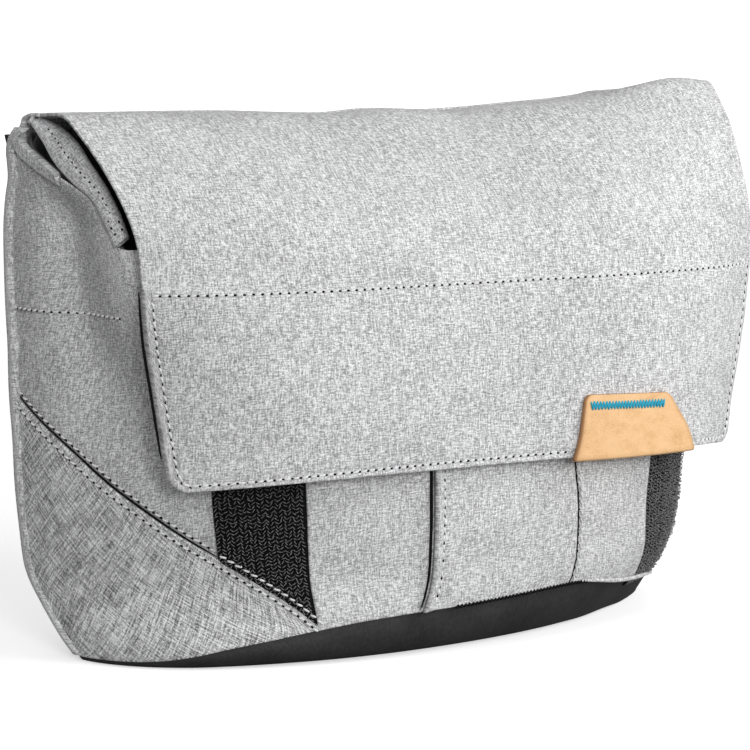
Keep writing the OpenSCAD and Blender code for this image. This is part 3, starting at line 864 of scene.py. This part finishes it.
def build_pocket():
    """Three pocket panels between the tapes; the centre one folds over the left one as a pleat."""
    def low(x):
        return seam_z(turn_at(x, MID_Z)) - .4

    def drift(z, by, over):
        """Moves a line's foot sideways by so much over its lowest stretch."""
        return by * np.clip(1 - (z - SEAM_FRONT_Z) / over, 0, 1)**2

    def bow(z):
        return smooth([(12, 1.7), (19, 3.2), (26, 3.0), (34, 1.7), (45, -.2), (58, -2.8), (107, -2.8)], z)

    def slanted(x, z, inset=0.0):
        """Centre panel: its fold leans left at the foot and its right seam bows out."""
        near = ease(1 - (x - PLEAT_X) / 40)
        far = ease(1 - (POCKET_SEAM_X - x) / 30)
        return front(x + near * drift(z, -5.0, 17) + far * bow(z), z, inset)

    def right_skin(x, z, inset=0.0):
        return leaning(x + ease(1 - (x - POCKET_SEAM_X) / 30) * bow(z), z, inset)

    def fold_puff(x, _):
        return 2.0 * np.exp(-((x - PLEAT_X - 1.0) / 2.1)**2)

    def upright(x, from_z=16.5):
        return np.full(90, x), np.linspace(from_z, 107, 90)

    area = grid(-STRIP_LEFT_X, PLEAT_X + 4, 34, low, POCKET_TOP_Z, 70)
    left = sheet("pocket_left_canvas", front, area, -1.2, -.1, CANVAS)
    finish_piece(left, "body", "canvas", "pocket_left_panel")
    fold_x = PLEAT_X + 3.6
    seam_a = (slanted(*upright(fold_x), -2.1), 1.0, .8)
    seam_b = (slanted(*upright(POCKET_SEAM_X), -2.1), .7, 1.0)
    area = grid(PLEAT_X, POCKET_SEAM_X - .1, 66, low, POCKET_TOP_Z, 74)
    centre = sheet("pocket_centre_canvas", slanted, area, -2.1, -1.25, CANVAS, [seam_a, seam_b], fold_puff)
    finish_piece(centre, "body", "canvas", "pocket_centre_panel")
    area = grid(POCKET_SEAM_X + .1, STRIP_RIGHT_X, 34, low, POCKET_TOP_Z, 74)
    right = sheet("pocket_right_canvas", right_skin, area, -2.1, -.1, CANVAS, [seam_b])
    finish_piece(right, "body", "canvas", "pocket_right_panel")
    fold_line = (slanted, *upright(fold_x), -1.85)
    rows = [stitch_row(*fold_line), stitch_row(slanted, *upright(POCKET_SEAM_X + 1.1), -2.0, radius=.22)]
    # Painted shade: needle-hole disks, a dark ribbon left of the pleat's fold and a thin one along the pocket
    # seam
    dark = [hole_shade_row(*fold_line), hole_shade_row(slanted, *upright(POCKET_SEAM_X + .2), -1.65),
            gap_shade_line(slanted, *upright(PLEAT_X - .75, 15), -1.3, 1.1),
            gap_shade_line(slanted, *upright(POCKET_SEAM_X, 16), -1.6, .55)]
    sew("pocket", rows, dark)


def base_ring(share, shrink, inset, cols=150, back_cols=60):
    """Ring of the base at a share of the seam height, pulled in towards the middle."""
    middle_y = 3.0
    u = np.linspace(-1, 1, cols + 1)
    z = (seam_z(u) + .6) * share
    q = wall(u, z)
    x = q[:, 0] * (1 - shrink) * (1 - inset / 100)
    y = middle_y + (q[:, 1] - middle_y) * (1 - shrink) * (1 - inset / 24)
    ring = np.stack([x, y, z + inset * (1 - share)], -1)
    t = np.linspace(0, 1, back_cols + 1)[1:-1, None]
    return np.concatenate([ring, mix(ring[-1], ring[0], t)])


def build_base():
    """Boat-shaped coated base: rings out from the middle of the underside, then up the rim."""
    underside = [(0, shrink) for shrink in (.9, .55, .3, .12, .05)]
    rim = [(.05, .01)] + [(share, 0) for share in (.14, .27, .42, .58, .74, .88, .96, 1)]
    layers = []
    for inset, proud in ((0, .5), (1.5, 0)):
        rings = []
        for share, shrink in underside + rim:
            ring = base_ring(share, shrink, inset)
            swell = proud * math.sin(math.pi * min(share * 1.1, 1)) if share else 0
            outward = ring * [1 / 110, 1 / 30, 0]
            outward /= np.maximum(np.linalg.norm(outward, axis=1, keepdims=True), .3)
            rings.append(ring + outward * swell)
        layers.append(soft(np.array(rings)))
    outer, inner = layers
    outer[..., 2] = np.maximum(outer[..., 2], 0)
    rows, cols = outer.shape[:2]
    count = rows * cols
    faces = (tube_sides(rows, cols) + flipped(tube_sides(rows, cols, count))
             + rim_faces(count - cols, 2 * count - cols, cols) + caps(cols, 0, count))
    verts = np.concatenate([outer.reshape(-1, 3), inner.reshape(-1, 3)])
    uv = ring_uv(np.linspace(0, 420, cols), np.cumsum([0] + [4] * 4 + [1.2] * (rows - 5)))
    piece = make_mesh("base_cover", verts, faces, np.concatenate([uv, uv]), BASE)
    finish_piece(piece, "body", "coated_base", "base_panel")


def build_base_edge():
    """Gathered dark stitching along the base seam, and a short piped lip at its right end."""
    u = np.linspace(-.06, .27, 100)
    gather = [stitch_row(wall, u, seam_z(u) - .2, -2.3, pitch=1.4, length=1.5, radius=.42, slant=38)]
    finish_piece(joined("base_edge_stitches", gather, DARK_THREAD_AND_SHADE), "body", "coated_base")
    rings, sides, radius = 90, 8, .75
    u = np.linspace(.25, .62, rings)
    path, above = laid(wall, u, seam_z(u), -2.2)
    out, side = path_frame(path, above)
    along = np.clip(np.arange(rings) / (rings - 1), .02, .98)
    size = (radius * np.sin(math.pi * along)**.3)[:, None, None]
    t = np.linspace(0, 2 * math.pi, sides, endpoint=False)[None, :, None]
    verts = (path[:, None] + size * (out[:, None] * np.sin(t) + side[:, None] * np.cos(t))).reshape(-1, 3)
    lip = make_mesh("base_lip", verts, tube_faces(rings, sides), verts[:, [0, 2]], CANVAS)
    finish_piece(lip, "body", "canvas")


def build_mouth():
    """Folded hems round the mouth: front, beside it on both sides, and along the side walls' rear."""
    area = grid(-.56, .56, 120, lambda u: mouth_z(u) - 10, lambda u: mouth_z(u) + .8, 12)
    front_band = sheet("front_mouth_hem", wall_with_valley, area, -.15, .1, CANVAS, [],
                       lambda u, _: 1.15 * (1 - ease((np.abs(u) - .38) / .17)))
    finish_piece(front_band, "body", "canvas", "front_mouth_band")
    for side, word in ((-1, "left"), (1, "right")):
        a, b = grid(.70, .985, 60, lambda u: mouth_z(u) - 3.4, lambda u: mouth_z(u) + 1.0, 8)
        if side < 0:
            a, b = -a[:, ::-1], b[:, ::-1]
        rear = sheet(word + "_rear_hem", wall_with_valley, (a, b), -.9, CANVAS_T + .6, CANVAS)
        finish_piece(rear, "body", "canvas", word + "_rear_band")
        finish_piece(ear(word + "_mouth_hem", side), "body", "canvas", word + "_mouth_band")
        skin, lines = ear_lines(side)
        rows = [stitch_row(skin, *line, -.05, pitch=2.3, length=1.8, radius=.22) for line in lines]
        sew(word + "_hem", rows, [hole_shade_row(skin, *line, -.05, pitch=2.3, radius=.36) for line in lines])


# The folded hem beside the mouth: its outer edge against the side wall and its inner edge under the flap
EAR_OUTER = [(120.5, 24, 166), (119.6, 20.5, 160), (118.7, 14, 153.5), (117, 5, 147), (115, -2.5, 142),
             (113.7, -7, 135), (112.5, -11, 127)]
EAR_INNER = [(116.5, 27, 167), (114.5, 17.5, 164), (113.5, 7.5, 159.5), (112, 1.5, 153), (110.2, -4, 146),
             (109, -9, 138), (108, -12.5, 130.5)]


def ear_frame(t):
    """Middle line, half width vector and outward side of the folded hem at shares t."""
    n = len(EAR_OUTER) - 1
    edge = [np.stack([smooth([(i / n, k[axis]) for i, k in enumerate(keys)], t) for axis in range(3)], -1)
            for keys in (EAR_OUTER, EAR_INNER)]
    middle, wide = (edge[0] + edge[1]) / 2, (edge[1] - edge[0]) / 2
    out = unit(np.cross(wide, np.gradient(middle, axis=0)))
    return middle, wide, out * np.sign(out[:, :1])


def ear_thick(t):
    """Half thickness of the folded hem, which opens towards its lower end."""
    return mix(1.5, 2.3, ease((t - .55) / .45))


def ear(name, side):
    """Flattened tube of folded canvas that runs down the mouth's side and ends in an open fold."""
    rows, sides = 90, 32
    t = np.linspace(0, 1, rows)
    middle, wide, out = ear_frame(t)
    phi = np.linspace(0, 2 * math.pi, sides, endpoint=False)
    pinch = 1 - .45 * np.exp(-(np.cos(phi) / .2)**2) * (1 - ease((t[:, None] - .8) / .1))
    layers = []
    for shrink in (0.0, .75):
        w = wide[:, None, :] * (np.cos(phi) * (1 - shrink / 5.5))[None, :, None]
        h = out[:, None, :] * ((ear_thick(t) - shrink)[:, None] * np.sin(phi) * pinch)[:, :, None]
        pts = middle[:, None, :] + w + h
        pts[..., 0] *= side
        layers.append(soft(pts).reshape(-1, 3))
    uv = ring_uv(phi * 3.5, t * 60)
    return make_mesh(name, np.concatenate(layers), hollow_faces(rows, sides, side > 0),
                     np.concatenate([uv, uv]), CANVAS)


def ear_lines(side):
    """Stitch lines on the folded hem: one along its middle and a small rectangle at its end."""
    def skin(t, w, inset=0.0):
        shares = np.linspace(0, 1, 121)
        middle, wide, out = [np.stack([np.interp(t, shares, v[:, k]) for k in range(3)], -1)
                             for v in ear_frame(shares)]
        rise = ear_thick(t) * (.62 + .38 * ease((t - .8) / .1))
        p = middle + wide * w[:, None] + out * (rise - inset)[:, None]
        p[..., 0] *= side
        return p
    low, high, half = .94, .8, .5
    corners = [(high, -half), (high, half), (low, half), (low, -half), (high, -half)]
    box = np.concatenate([np.linspace(a, b, 12) for a, b in zip(corners, corners[1:])])
    return skin, [(np.linspace(.1, .8, 60), np.zeros(60)), tuple(box.T)]


def build_back():
    """Back panel with its sewn edge lines, padding and lining, and the raised seams down its edges."""
    row_z = 12.0
    rise = np.linspace(row_z, 158, 110)
    lines = [(back, side * (half_w(rise) - 5.5), rise, -1.38) for side in (-1, 1)]
    lines.append((back, np.linspace(-106, 106, 160), np.full(160, row_z), -1.38))
    seams = [(back(line[1], line[2], -1.3), .4, 1.3) for line in lines]
    panel = sheet("back_canvas", back, back_grid(0, SEAM_BACK_Z - .4, 163, 120, 90),
                  -1.3, -.15, CANVAS, seams)
    finish_piece(panel, "body", "canvas", "back_panel")
    sew("back", [stitch_row(*line) for line in lines], [hole_shade_row(*line) for line in lines])
    padding = sheet("back_padding", back, back_grid(WALL_IN + 1.2, 11, 158, 60, 40), .1, FOAM_T, FOAM)
    finish_piece(padding, "body", "foam", "back_foam")
    inner = sheet("back_lining_cloth", back, back_grid(WALL_IN - .5, 8.5, 162, 80, 60),
                  FOAM_T + .15, FOAM_T + .9, LINING)
    finish_piece(inner, "body", "lining", "back_lining")
    rows, sides = 110, 12
    phi = np.linspace(0, 2 * math.pi, sides, endpoint=False)
    for side, word, foot in ((-1, "left", 2.0), (1, "right", SEAM_BACK_Z)):
        z = np.linspace(foot, 163.5, rows)
        centre = np.stack([side * (half_w(z) + .35), back_y(z) - .4, z], -1)
        ring = np.stack([side * 1.6 * np.cos(phi), 2.3 * np.sin(phi), np.zeros(sides)], -1)
        verts = soft(centre[:, None, :] + ring[None]).reshape(-1, 3)
        welt = make_mesh(word + "_welt", verts, tube_faces(rows, sides, side < 0),
                         ring_uv(phi * 1.3, z), CANVAS)
        finish_piece(welt, "body", "canvas", word + "_edge_welt")


def back_grid(margin, low, high, cols, rows):
    """Places on the back, a margin inside its side edges."""
    z = np.linspace(low, high, rows + 1)
    t = np.linspace(1, -1, cols + 1)
    return np.outer(half_w(z) - margin, t), np.broadcast_to(z[:, None], (rows + 1, cols + 1)).copy()


def build_sleeve():
    """Belt sleeve: a soft panel that stands off the back between two sewn hems."""
    half, low, high, stand = 50.0, 60.0, 122.0, 6.0

    def skin(x, z, inset=0.0):
        t = (z - low) / (high - low)
        off = stand * ease(t / .13) * ease((1 - t) / .13)
        sag = .8 * np.cos(x / half * math.pi / 2) * ease(t / .3) * ease((1 - t) / .3)
        return back(x, z, inset - 1.5 - off - sag)
    piece = sheet("sleeve_canvas", skin, grid(half, -half, 60, low, high, 50), -1.1, 0, CANVAS)
    finish_piece(piece, "body", "canvas", "belt_sleeve")
    lines = [(skin, np.linspace(half - 1, 1 - half, 80), np.full(80, z), -1.2)
             for z in (low + 1.8, low + 3.8, high - 3.8, high - 1.8)]
    sew("sleeve", [stitch_row(*line) for line in lines], [hole_shade_row(*line) for line in lines])


def build_loops():
    """Webbing loops sewn into the back edges, near the top corners."""
    wide, tall, deep, thick = 23.0, 13.0, 7.4, 1.4
    rows, n = 9, 40
    t = np.linspace(0, 2 * math.pi, n, endpoint=False)
    for side, word, low in ((-1, "left", 147.5), (1, "right", 142.5)):
        cx, cy = half_w(low) - 4.0 - wide / 2, back_y(low) + 1.7 + deep / 2
        dx = wide / 2 * np.sign(np.cos(t)) * np.abs(np.cos(t))**.35
        dy = deep / 2 * np.sign(np.sin(t)) * np.abs(np.sin(t))**.8
        layers = []
        for shrink in (0.0, thick):
            x = side * (cx + dx * (1 - shrink / (wide / 2)))
            y = cy + dy * (1 - shrink / (deep / 2))
            rings = [np.stack([x, y, np.full(n, z)], -1) for z in np.linspace(low, low + tall, rows)]
            layers.append(soft(np.array(rings)).reshape(-1, 3))
        run = np.concatenate([[0], np.cumsum(np.hypot(np.diff(dx), np.diff(dy)))])
        uv = ring_uv(run, np.linspace(0, tall, rows))
        piece = make_mesh(word + "_webbing_loop", np.concatenate(layers), hollow_faces(rows, n, side < 0),
                          np.concatenate([uv, uv]), WEBBING)
        finish_piece(piece, "body", "webbing", word + "_anchor_loop")


def build_inside():
    """Stretch pocket on the back's lining, bagging out below its elastic edge."""
    half, flat_in, stand = 84.0, 3.6, 6.5
    bag_in = 3 * PLY + FOAM_T + LINING_T + stand

    def skin(x, z, inset=0.0):
        bag = 1 - .75 * np.abs(x / half)**6
        foot = ease((z - 12) / 10)
        return back(x, z, flat_in + (bag_in - flat_in) * bag * foot + inset)
    panel = sheet("organiser_cloth", skin, grid(-half, half, 90, 12, 92, 40), .9, .1, STRETCH)
    finish_piece(panel, "body", "stretch", "organiser_panel")
    edge = sheet("organiser_elastic", skin, grid(-half, half, 90, 91.5, 98, 6), 1.3, -.3, WEBBING)
    finish_piece(edge, "body", "webbing", "organiser_binding")


def flap_bottom(p):
    """Height of the flap's bottom edge, with rounded corners."""
    z = mix(FLAP_FOOT_Z + 3, FLAP_FOOT_Z, np.abs(p)**3)
    half = flap_half(FLAP_FOOT_Z + 2)
    over = np.clip(np.abs(p) * half - (half - CORNER_R), 0, CORNER_R)
    return z + CORNER_R - np.sqrt(np.maximum(CORNER_R**2 - over**2, 0))


def flap_creases(p, q):
    """Soft folds in the flap's upper fabric."""
    x = p * 121
    fold = 1.5 * np.exp(-((x - 30 - 60 * (q - .2)) / 7)**2) * np.exp(-((q - .2) / .16)**2)
    left = .6 * np.exp(-((x + 62 - 70 * (q - .15)) / 5)**2) * np.exp(-((q - .17) / .12)**2)
    return -fold - left


def bend_flap(obj, slot, *nodes):
    """Hides the CAD nodes that a flap piece across the cross seam replaces, and bakes its placement into its
    mesh.
    """
    if nodes:
        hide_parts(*nodes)
    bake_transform(obj)


def build_flap():
    """Upper and lower flap with their linings, stitches, painted shade along the side rims and hook tapes."""
    def above_seam(p):
        return flap_q(p, FLAP_SEAM_Z - 3)

    def foot(p):
        return flap_q(p, flap_bottom(p))

    upper = sheet("flap_upper_canvas", flap, grid(-1, 1, 170, above_seam, .0215, 60, True),
                  .3, 1.2, CANVAS, [], flap_creases)
    bend_flap(upper, "canvas", "flap_upper_panel")
    upper_lining = sheet("flap_upper_cloth", flap, grid(-.985, .985, 100, above_seam, .026, 40, True),
                         1.25, 1.7, LINING, [], flap_creases)
    bend_flap(upper_lining, "lining", "flap_upper_lining")

    xs = np.linspace(-.985, .985, 240)
    seam_q = flap_q(xs, FLAP_SEAM_Z)
    edge_x, edge_z = box_stitch_path()
    dips = [(flap(xs, seam_q), .35, .9), (flap_xz(edge_x, edge_z), .6, .8)]
    area = grid(-1, 1, 200, foot, lambda p: flap_q(p, FLAP_SEAM_Z + 1.2), 62, True)
    lower = sheet("flap_front_canvas", flap, area, -.35, 1.9, CANVAS, dips)
    bend_flap(lower, "canvas", "flap_lower_panel", "flap_stiffener")
    area = grid(-.975, .975, 120, lambda p: flap_q(p, flap_bottom(p) + 2.2),
                lambda p: flap_q(p, FLAP_SEAM_Z - 1), 40, True)
    bend_flap(sheet("flap_front_cloth", flap, area, 1.95, 2.5, LINING), "lining", "flap_lower_lining")

    # The edge row stops on both sides of the leather tab
    bottom = edge_z < 62
    lines = [(flap, xs, seam_q, -.12)]
    for run in (np.where(bottom, edge_x < 25, edge_x < 0), np.where(bottom, edge_x > 78.5, edge_x > 0)):
        lines.append((flap_xz, edge_x[run], edge_z[run], -.05))
    rows = [stitch_row(*line) for line in lines]
    # Needle-hole disks, and dark ribbons just outside the lower flap's side rims, are painted shade
    dark = [hole_shade_row(*line) for line in lines]
    for side in (-1, 1):
        rim_q = flap_q(np.full(60, float(side)), np.linspace(66, FLAP_SEAM_Z + 1, 60))
        dark.append(gap_shade_line(flap, np.full(60, side * 1.0085), rim_q, .75, 1.0))
    for piece in thread_pieces("flap", rows, dark):
        bend_flap(piece, "canvas")
    for x0, x1, word in ((-STRIP_LEFT_X - 24, -STRIP_LEFT_X - 2, "left"),
                         (STRIP_RIGHT_X + 2, STRIP_RIGHT_X + 24, "right")):
        hooks = sheet(word + "_hook_tape", flap_xz, grid(x0, x1, 22, 70, 104, 30), 2.55, 3.5, LOOP)
        finish_piece(hooks, "flap_front", "fastener", word + "_hook_strip")


def box_stitch_path():
    """Stitch line 2 mm inside the flap's left, bottom and right edges, as x and z."""
    inset, r = 2.1, CORNER_R - 2.0
    x_mid = flap_half(FLAP_FOOT_Z + 2) - inset - r
    half_path = [(inset - flap_half(z), z)
                 for z in np.linspace(FLAP_SEAM_Z - 1.5, FLAP_FOOT_Z + inset + r + .5, 70)]
    half_path += [(-(x_mid + r * math.cos(t)), FLAP_FOOT_Z + .3 + inset + r - r * math.sin(t))
                  for t in np.linspace(0, math.pi / 2, 14)]
    bottom = [(x, mix(FLAP_FOOT_Z + 3, FLAP_FOOT_Z, abs(x / 100)**3) + inset)
              for x in np.linspace(-x_mid + 1, x_mid - 1, 200)]
    return np.array(half_path + bottom + [(-x, z) for x, z in reversed(half_path)]).T


def build_roll():
    """Canvas that turns over the back's top edge into the flap."""
    places = [(back_y(161.0) + 1.2, 161.0), (back_y(164.0) + 1.1, 164.0), (27.2, 166.6), (24.6, 167.9),
              (21.5, 168.0)]
    t = np.linspace(0, 1, 24)
    y, z = [smooth([(i / 4, place[axis]) for i, place in enumerate(places)], t) for axis in (0, 1)]
    way = unit(np.stack([np.gradient(y), np.gradient(z)], -1))
    x = np.linspace(120.0, -120.0, 121)
    layers = []
    for inset in (0.0, 1.2):
        yy, zz = y - way[:, 1] * inset, z + way[:, 0] * inset
        layers.append(soft(np.stack(np.broadcast_arrays(x[None, :], yy[:, None], zz[:, None]), -1)))
    roll = make_mesh("flap_roll", *closed_sheet(*layers, run_lengths(layers[0])), CANVAS)
    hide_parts("flap_binding")
    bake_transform(roll)


# ---------------------------------------------------------------------------
# The leather tab
# ---------------------------------------------------------------------------
TAB_LEFT = [(0, 26), (.2, 27.6), (.45, 28.8), (.7, 29.5), (1, 30.4)]
TAB_RIGHT = [(0, 77), (.27, 74.9), (.5, 72.4), (.72, 69.0), (.88, 66.4), (1, 64.8)]


def tab_sides(z):
    """Left and right edges of the leather tab at height z."""
    t = np.clip((z - 56) / 21.5, 0, 1)
    return smooth(TAB_LEFT, t), smooth(TAB_RIGHT, t)


def build_tab():
    """Leather tab folded round the flap's bottom edge, and the zigzag bar of thread that holds it."""
    cols, top, foot, edge_z, round_r = 44, 77.7, 57.6, 59.8, 2.2
    t = np.linspace(0, 1, cols + 1)

    def leaf(heights, inset):
        rows = []
        for z in heights:
            left, right = tab_sides(np.array(z))
            if inset > 0:
                left = left + 3.0
            round_by = round_r * (1 - math.sqrt(max(1 - (max(z - top + round_r, 0) / round_r)**2, 0)))
            x = mix(left + round_by, right - round_by, t)
            tilt = -.05 * (x - TAB_MIDDLE_X) * ease((z - 60) / 16)
            row = flap_xz(x, np.full(x.shape, max(z, edge_z)) + tilt, inset)
            row[:, 2] += min(z - edge_z, 0) + (1.2 - .02 * (x - 26)) * (1 - ease((z - 57) / 12))
            rows.append(row)
        return np.array(rows)
    front_heights = mix(foot, top, np.sin(np.linspace(0, math.pi / 2, 26)))
    layers = []
    for gap in (1.45, .1):
        front_leaf = leaf(front_heights, -.4 - gap)
        back_leaf = leaf(np.linspace(64, foot, 9), 2.6 + gap)
        start, end = back_leaf[-1], front_leaf[0]
        drop = np.array([0, 0, -.3 - .55 * gap])
        bend = [mix(start, end, (1 - math.cos(a)) / 2) + drop * math.sin(a)
                for a in np.arange(1, 8) * math.pi / 8]
        layers.append(np.concatenate([back_leaf, np.array(bend), front_leaf]))
    outer, inner = [soft(layer, False) for layer in layers]
    verts, faces, uvs = closed_sheet(outer, inner, run_lengths(layers[0]))
    piece = make_mesh("tab_leather", verts, faces, uvs, LEATHER)
    # The cut edges are worn, and the leather beside them a little; the left edge is darkened most, as painted
    # shade
    count = outer.shape[0] * outer.shape[1]
    wear_and_shade = np.zeros(len(verts), np.float32)
    wear_and_shade[2 * count:] = .85
    near = np.zeros(outer.shape[:2])
    # Left column: painted shade; the other border rows and columns: wear
    near[:, :1] = .8
    near[:, 1:2] = near[:, -2:] = .25
    near[-2:, :] = .25
    wear_and_shade[:count] = near.reshape(-1)
    piece.data.attributes.new("edge_wear_and_shade", "FLOAT", "POINT").data.foreach_set("value", wear_and_shade)
    finish_piece(piece, "flap_front", "leather", "leather_tab")

    bars = 48
    x = np.linspace(32.3, 62.0, bars + 1)
    z = np.where(np.arange(bars + 1) % 2, 73.0, 75.8) - .05 * (x - TAB_MIDDLE_X)
    rows = [stitch_row(flap_xz, np.linspace(x[k], x[k + 1], 6), np.linspace(z[k], z[k + 1], 6), -2.0,
                       pitch=3.0, length=2.9, radius=.3, slant=0) for k in range(bars)]
    finish_piece(joined("tab_zigzag", rows, BLUE_THREAD), "flap_front", "thread", "tab_bartack")


# ---------------------------------------------------------------------------
# Studio
# ---------------------------------------------------------------------------
def build_studio():
    """Pale floor that bends up behind the bag, seen from the photograph's side, and the lights."""
    mat, tree, bsdf = nodes_for("floor")
    bsdf.inputs["Base Color"].default_value = (.92, .92, .92, 1)
    bsdf.inputs["Roughness"].default_value = .9
    bsdf.inputs["Emission Color"].default_value = (1, 1, 1, 1)
    bsdf.inputs["Emission Strength"].default_value = .50
    # The floor looks white, but throws little light back at the bag
    seen = add(tree, "ShaderNodeLightPath").outputs["Is Camera Ray"]
    dim = add(tree, "ShaderNodeBsdfDiffuse", {"Color": (.3, .3, .3, 1)})
    both = add(tree, "ShaderNodeMixShader", {0: seen})
    tree.links.new(dim.outputs[0], both.inputs[1])
    tree.links.new(bsdf.outputs[0], both.inputs[2])
    tree.links.new(both.outputs[0], tree.nodes["Material Output"].inputs[0])
    half, reach, back_reach, rise, bend = 3.0, 2.2, 1.1, 1.8, .35
    profile = [(-reach, 0.0)] + [(back_reach + bend * math.sin(a), bend * (1 - math.cos(a)))
                                 for a in np.linspace(0, math.pi / 2, 10)] + [(back_reach + bend, rise)]
    turn = math.radians(VIEW_TURN)
    verts = [(w * math.cos(turn) + d * math.sin(turn), -w * math.sin(turn) + d * math.cos(turn), h)
             for d, h in profile for w in (-half, half)]
    mesh = bpy.data.meshes.new("floor")
    mesh.from_pydata(verts, [], [(2 * k - 2, 2 * k - 1, 2 * k + 1, 2 * k) for k in range(1, len(profile))])
    mesh.polygons.foreach_set("use_smooth", [True] * len(mesh.polygons))
    mesh.materials.append(mat)
    floor = bpy.data.objects.new("floor", mesh)
    bpy.context.scene.collection.objects.link(floor)

    world = bpy.data.worlds.new("studio")
    world.use_nodes = True
    world.node_tree.nodes["Background"].inputs[0].default_value = (1, 1, 1, 1)
    world.node_tree.nodes["Background"].inputs[1].default_value = .24
    bpy.context.scene.world = world
    softbox("key", (.78, -.86, .56), (0, 0, .09), .75, 10.3)
    sun("fill", (-.24, -.94, .24), 1.26, 16)
    sun("rim", (.35, .88, .30), .9, 24)
    sun("top", (.1, -.1, 1), .25, 60)
    sun("left", (-.58, -.36, .73), .38, 30)
    bpy.context.scene.view_settings.view_transform = "Standard"


def softbox(name, at, towards, size, power):
    data = bpy.data.lights.new(name, "AREA")
    data.size = size
    data.energy = power
    obj = bpy.data.objects.new(name, data)
    obj.location = at
    obj.rotation_euler = (Vector(towards) - Vector(at)).to_track_quat("-Z", "Y").to_euler()
    bpy.context.scene.collection.objects.link(obj)


def sun(name, towards, power, angle):
    data = bpy.data.lights.new(name, "SUN")
    data.energy = power
    data.angle = math.radians(angle)
    obj = bpy.data.objects.new(name, data)
    obj.rotation_euler = Vector(towards).to_track_quat("Z", "Y").to_euler()
    bpy.context.scene.collection.objects.link(obj)


def build_camera():
    """The photograph's camera: from the front left, a little above the bag's middle."""
    data = bpy.data.cameras.new("camera")
    data.sensor_width = 36
    data.lens = 156.2
    cam = bpy.data.objects.new("camera", data)
    cam.location = (-.5457, -.8491, .2041)
    cam.rotation_euler = (math.radians(90 - VIEW_TILT), 0, math.radians(-VIEW_TURN))
    bpy.context.scene.collection.objects.link(cam)
    bpy.context.scene.camera = cam


def carried_over():
    """CAD pieces that stay as they are get their own materials."""
    for node, mat in (("base_foam", FOAM), ("base_board", BOARD), ("floor_lining", LINING)):
        for obj in bpy.data.objects:
            if obj.type == "MESH" and obj.name.split(".")[0] == node:
                for slot in obj.material_slots:
                    slot.material = mat
                if not obj.data.uv_layers.get("weave"):
                    layer = obj.data.uv_layers.new(name="weave")
                    for loop in obj.data.loops:
                        co = obj.data.vertices[loop.vertex_index].co / MM
                        layer.data[loop.index].uv = (co.x, co.y)


build_camera()
build_studio()
build_walls()
build_corners()
build_strips()
build_pocket()
build_base()
build_base_edge()
build_mouth()
build_back()
build_sleeve()
build_loops()
build_inside()
build_flap()
build_roll()
build_tab()
carried_over()
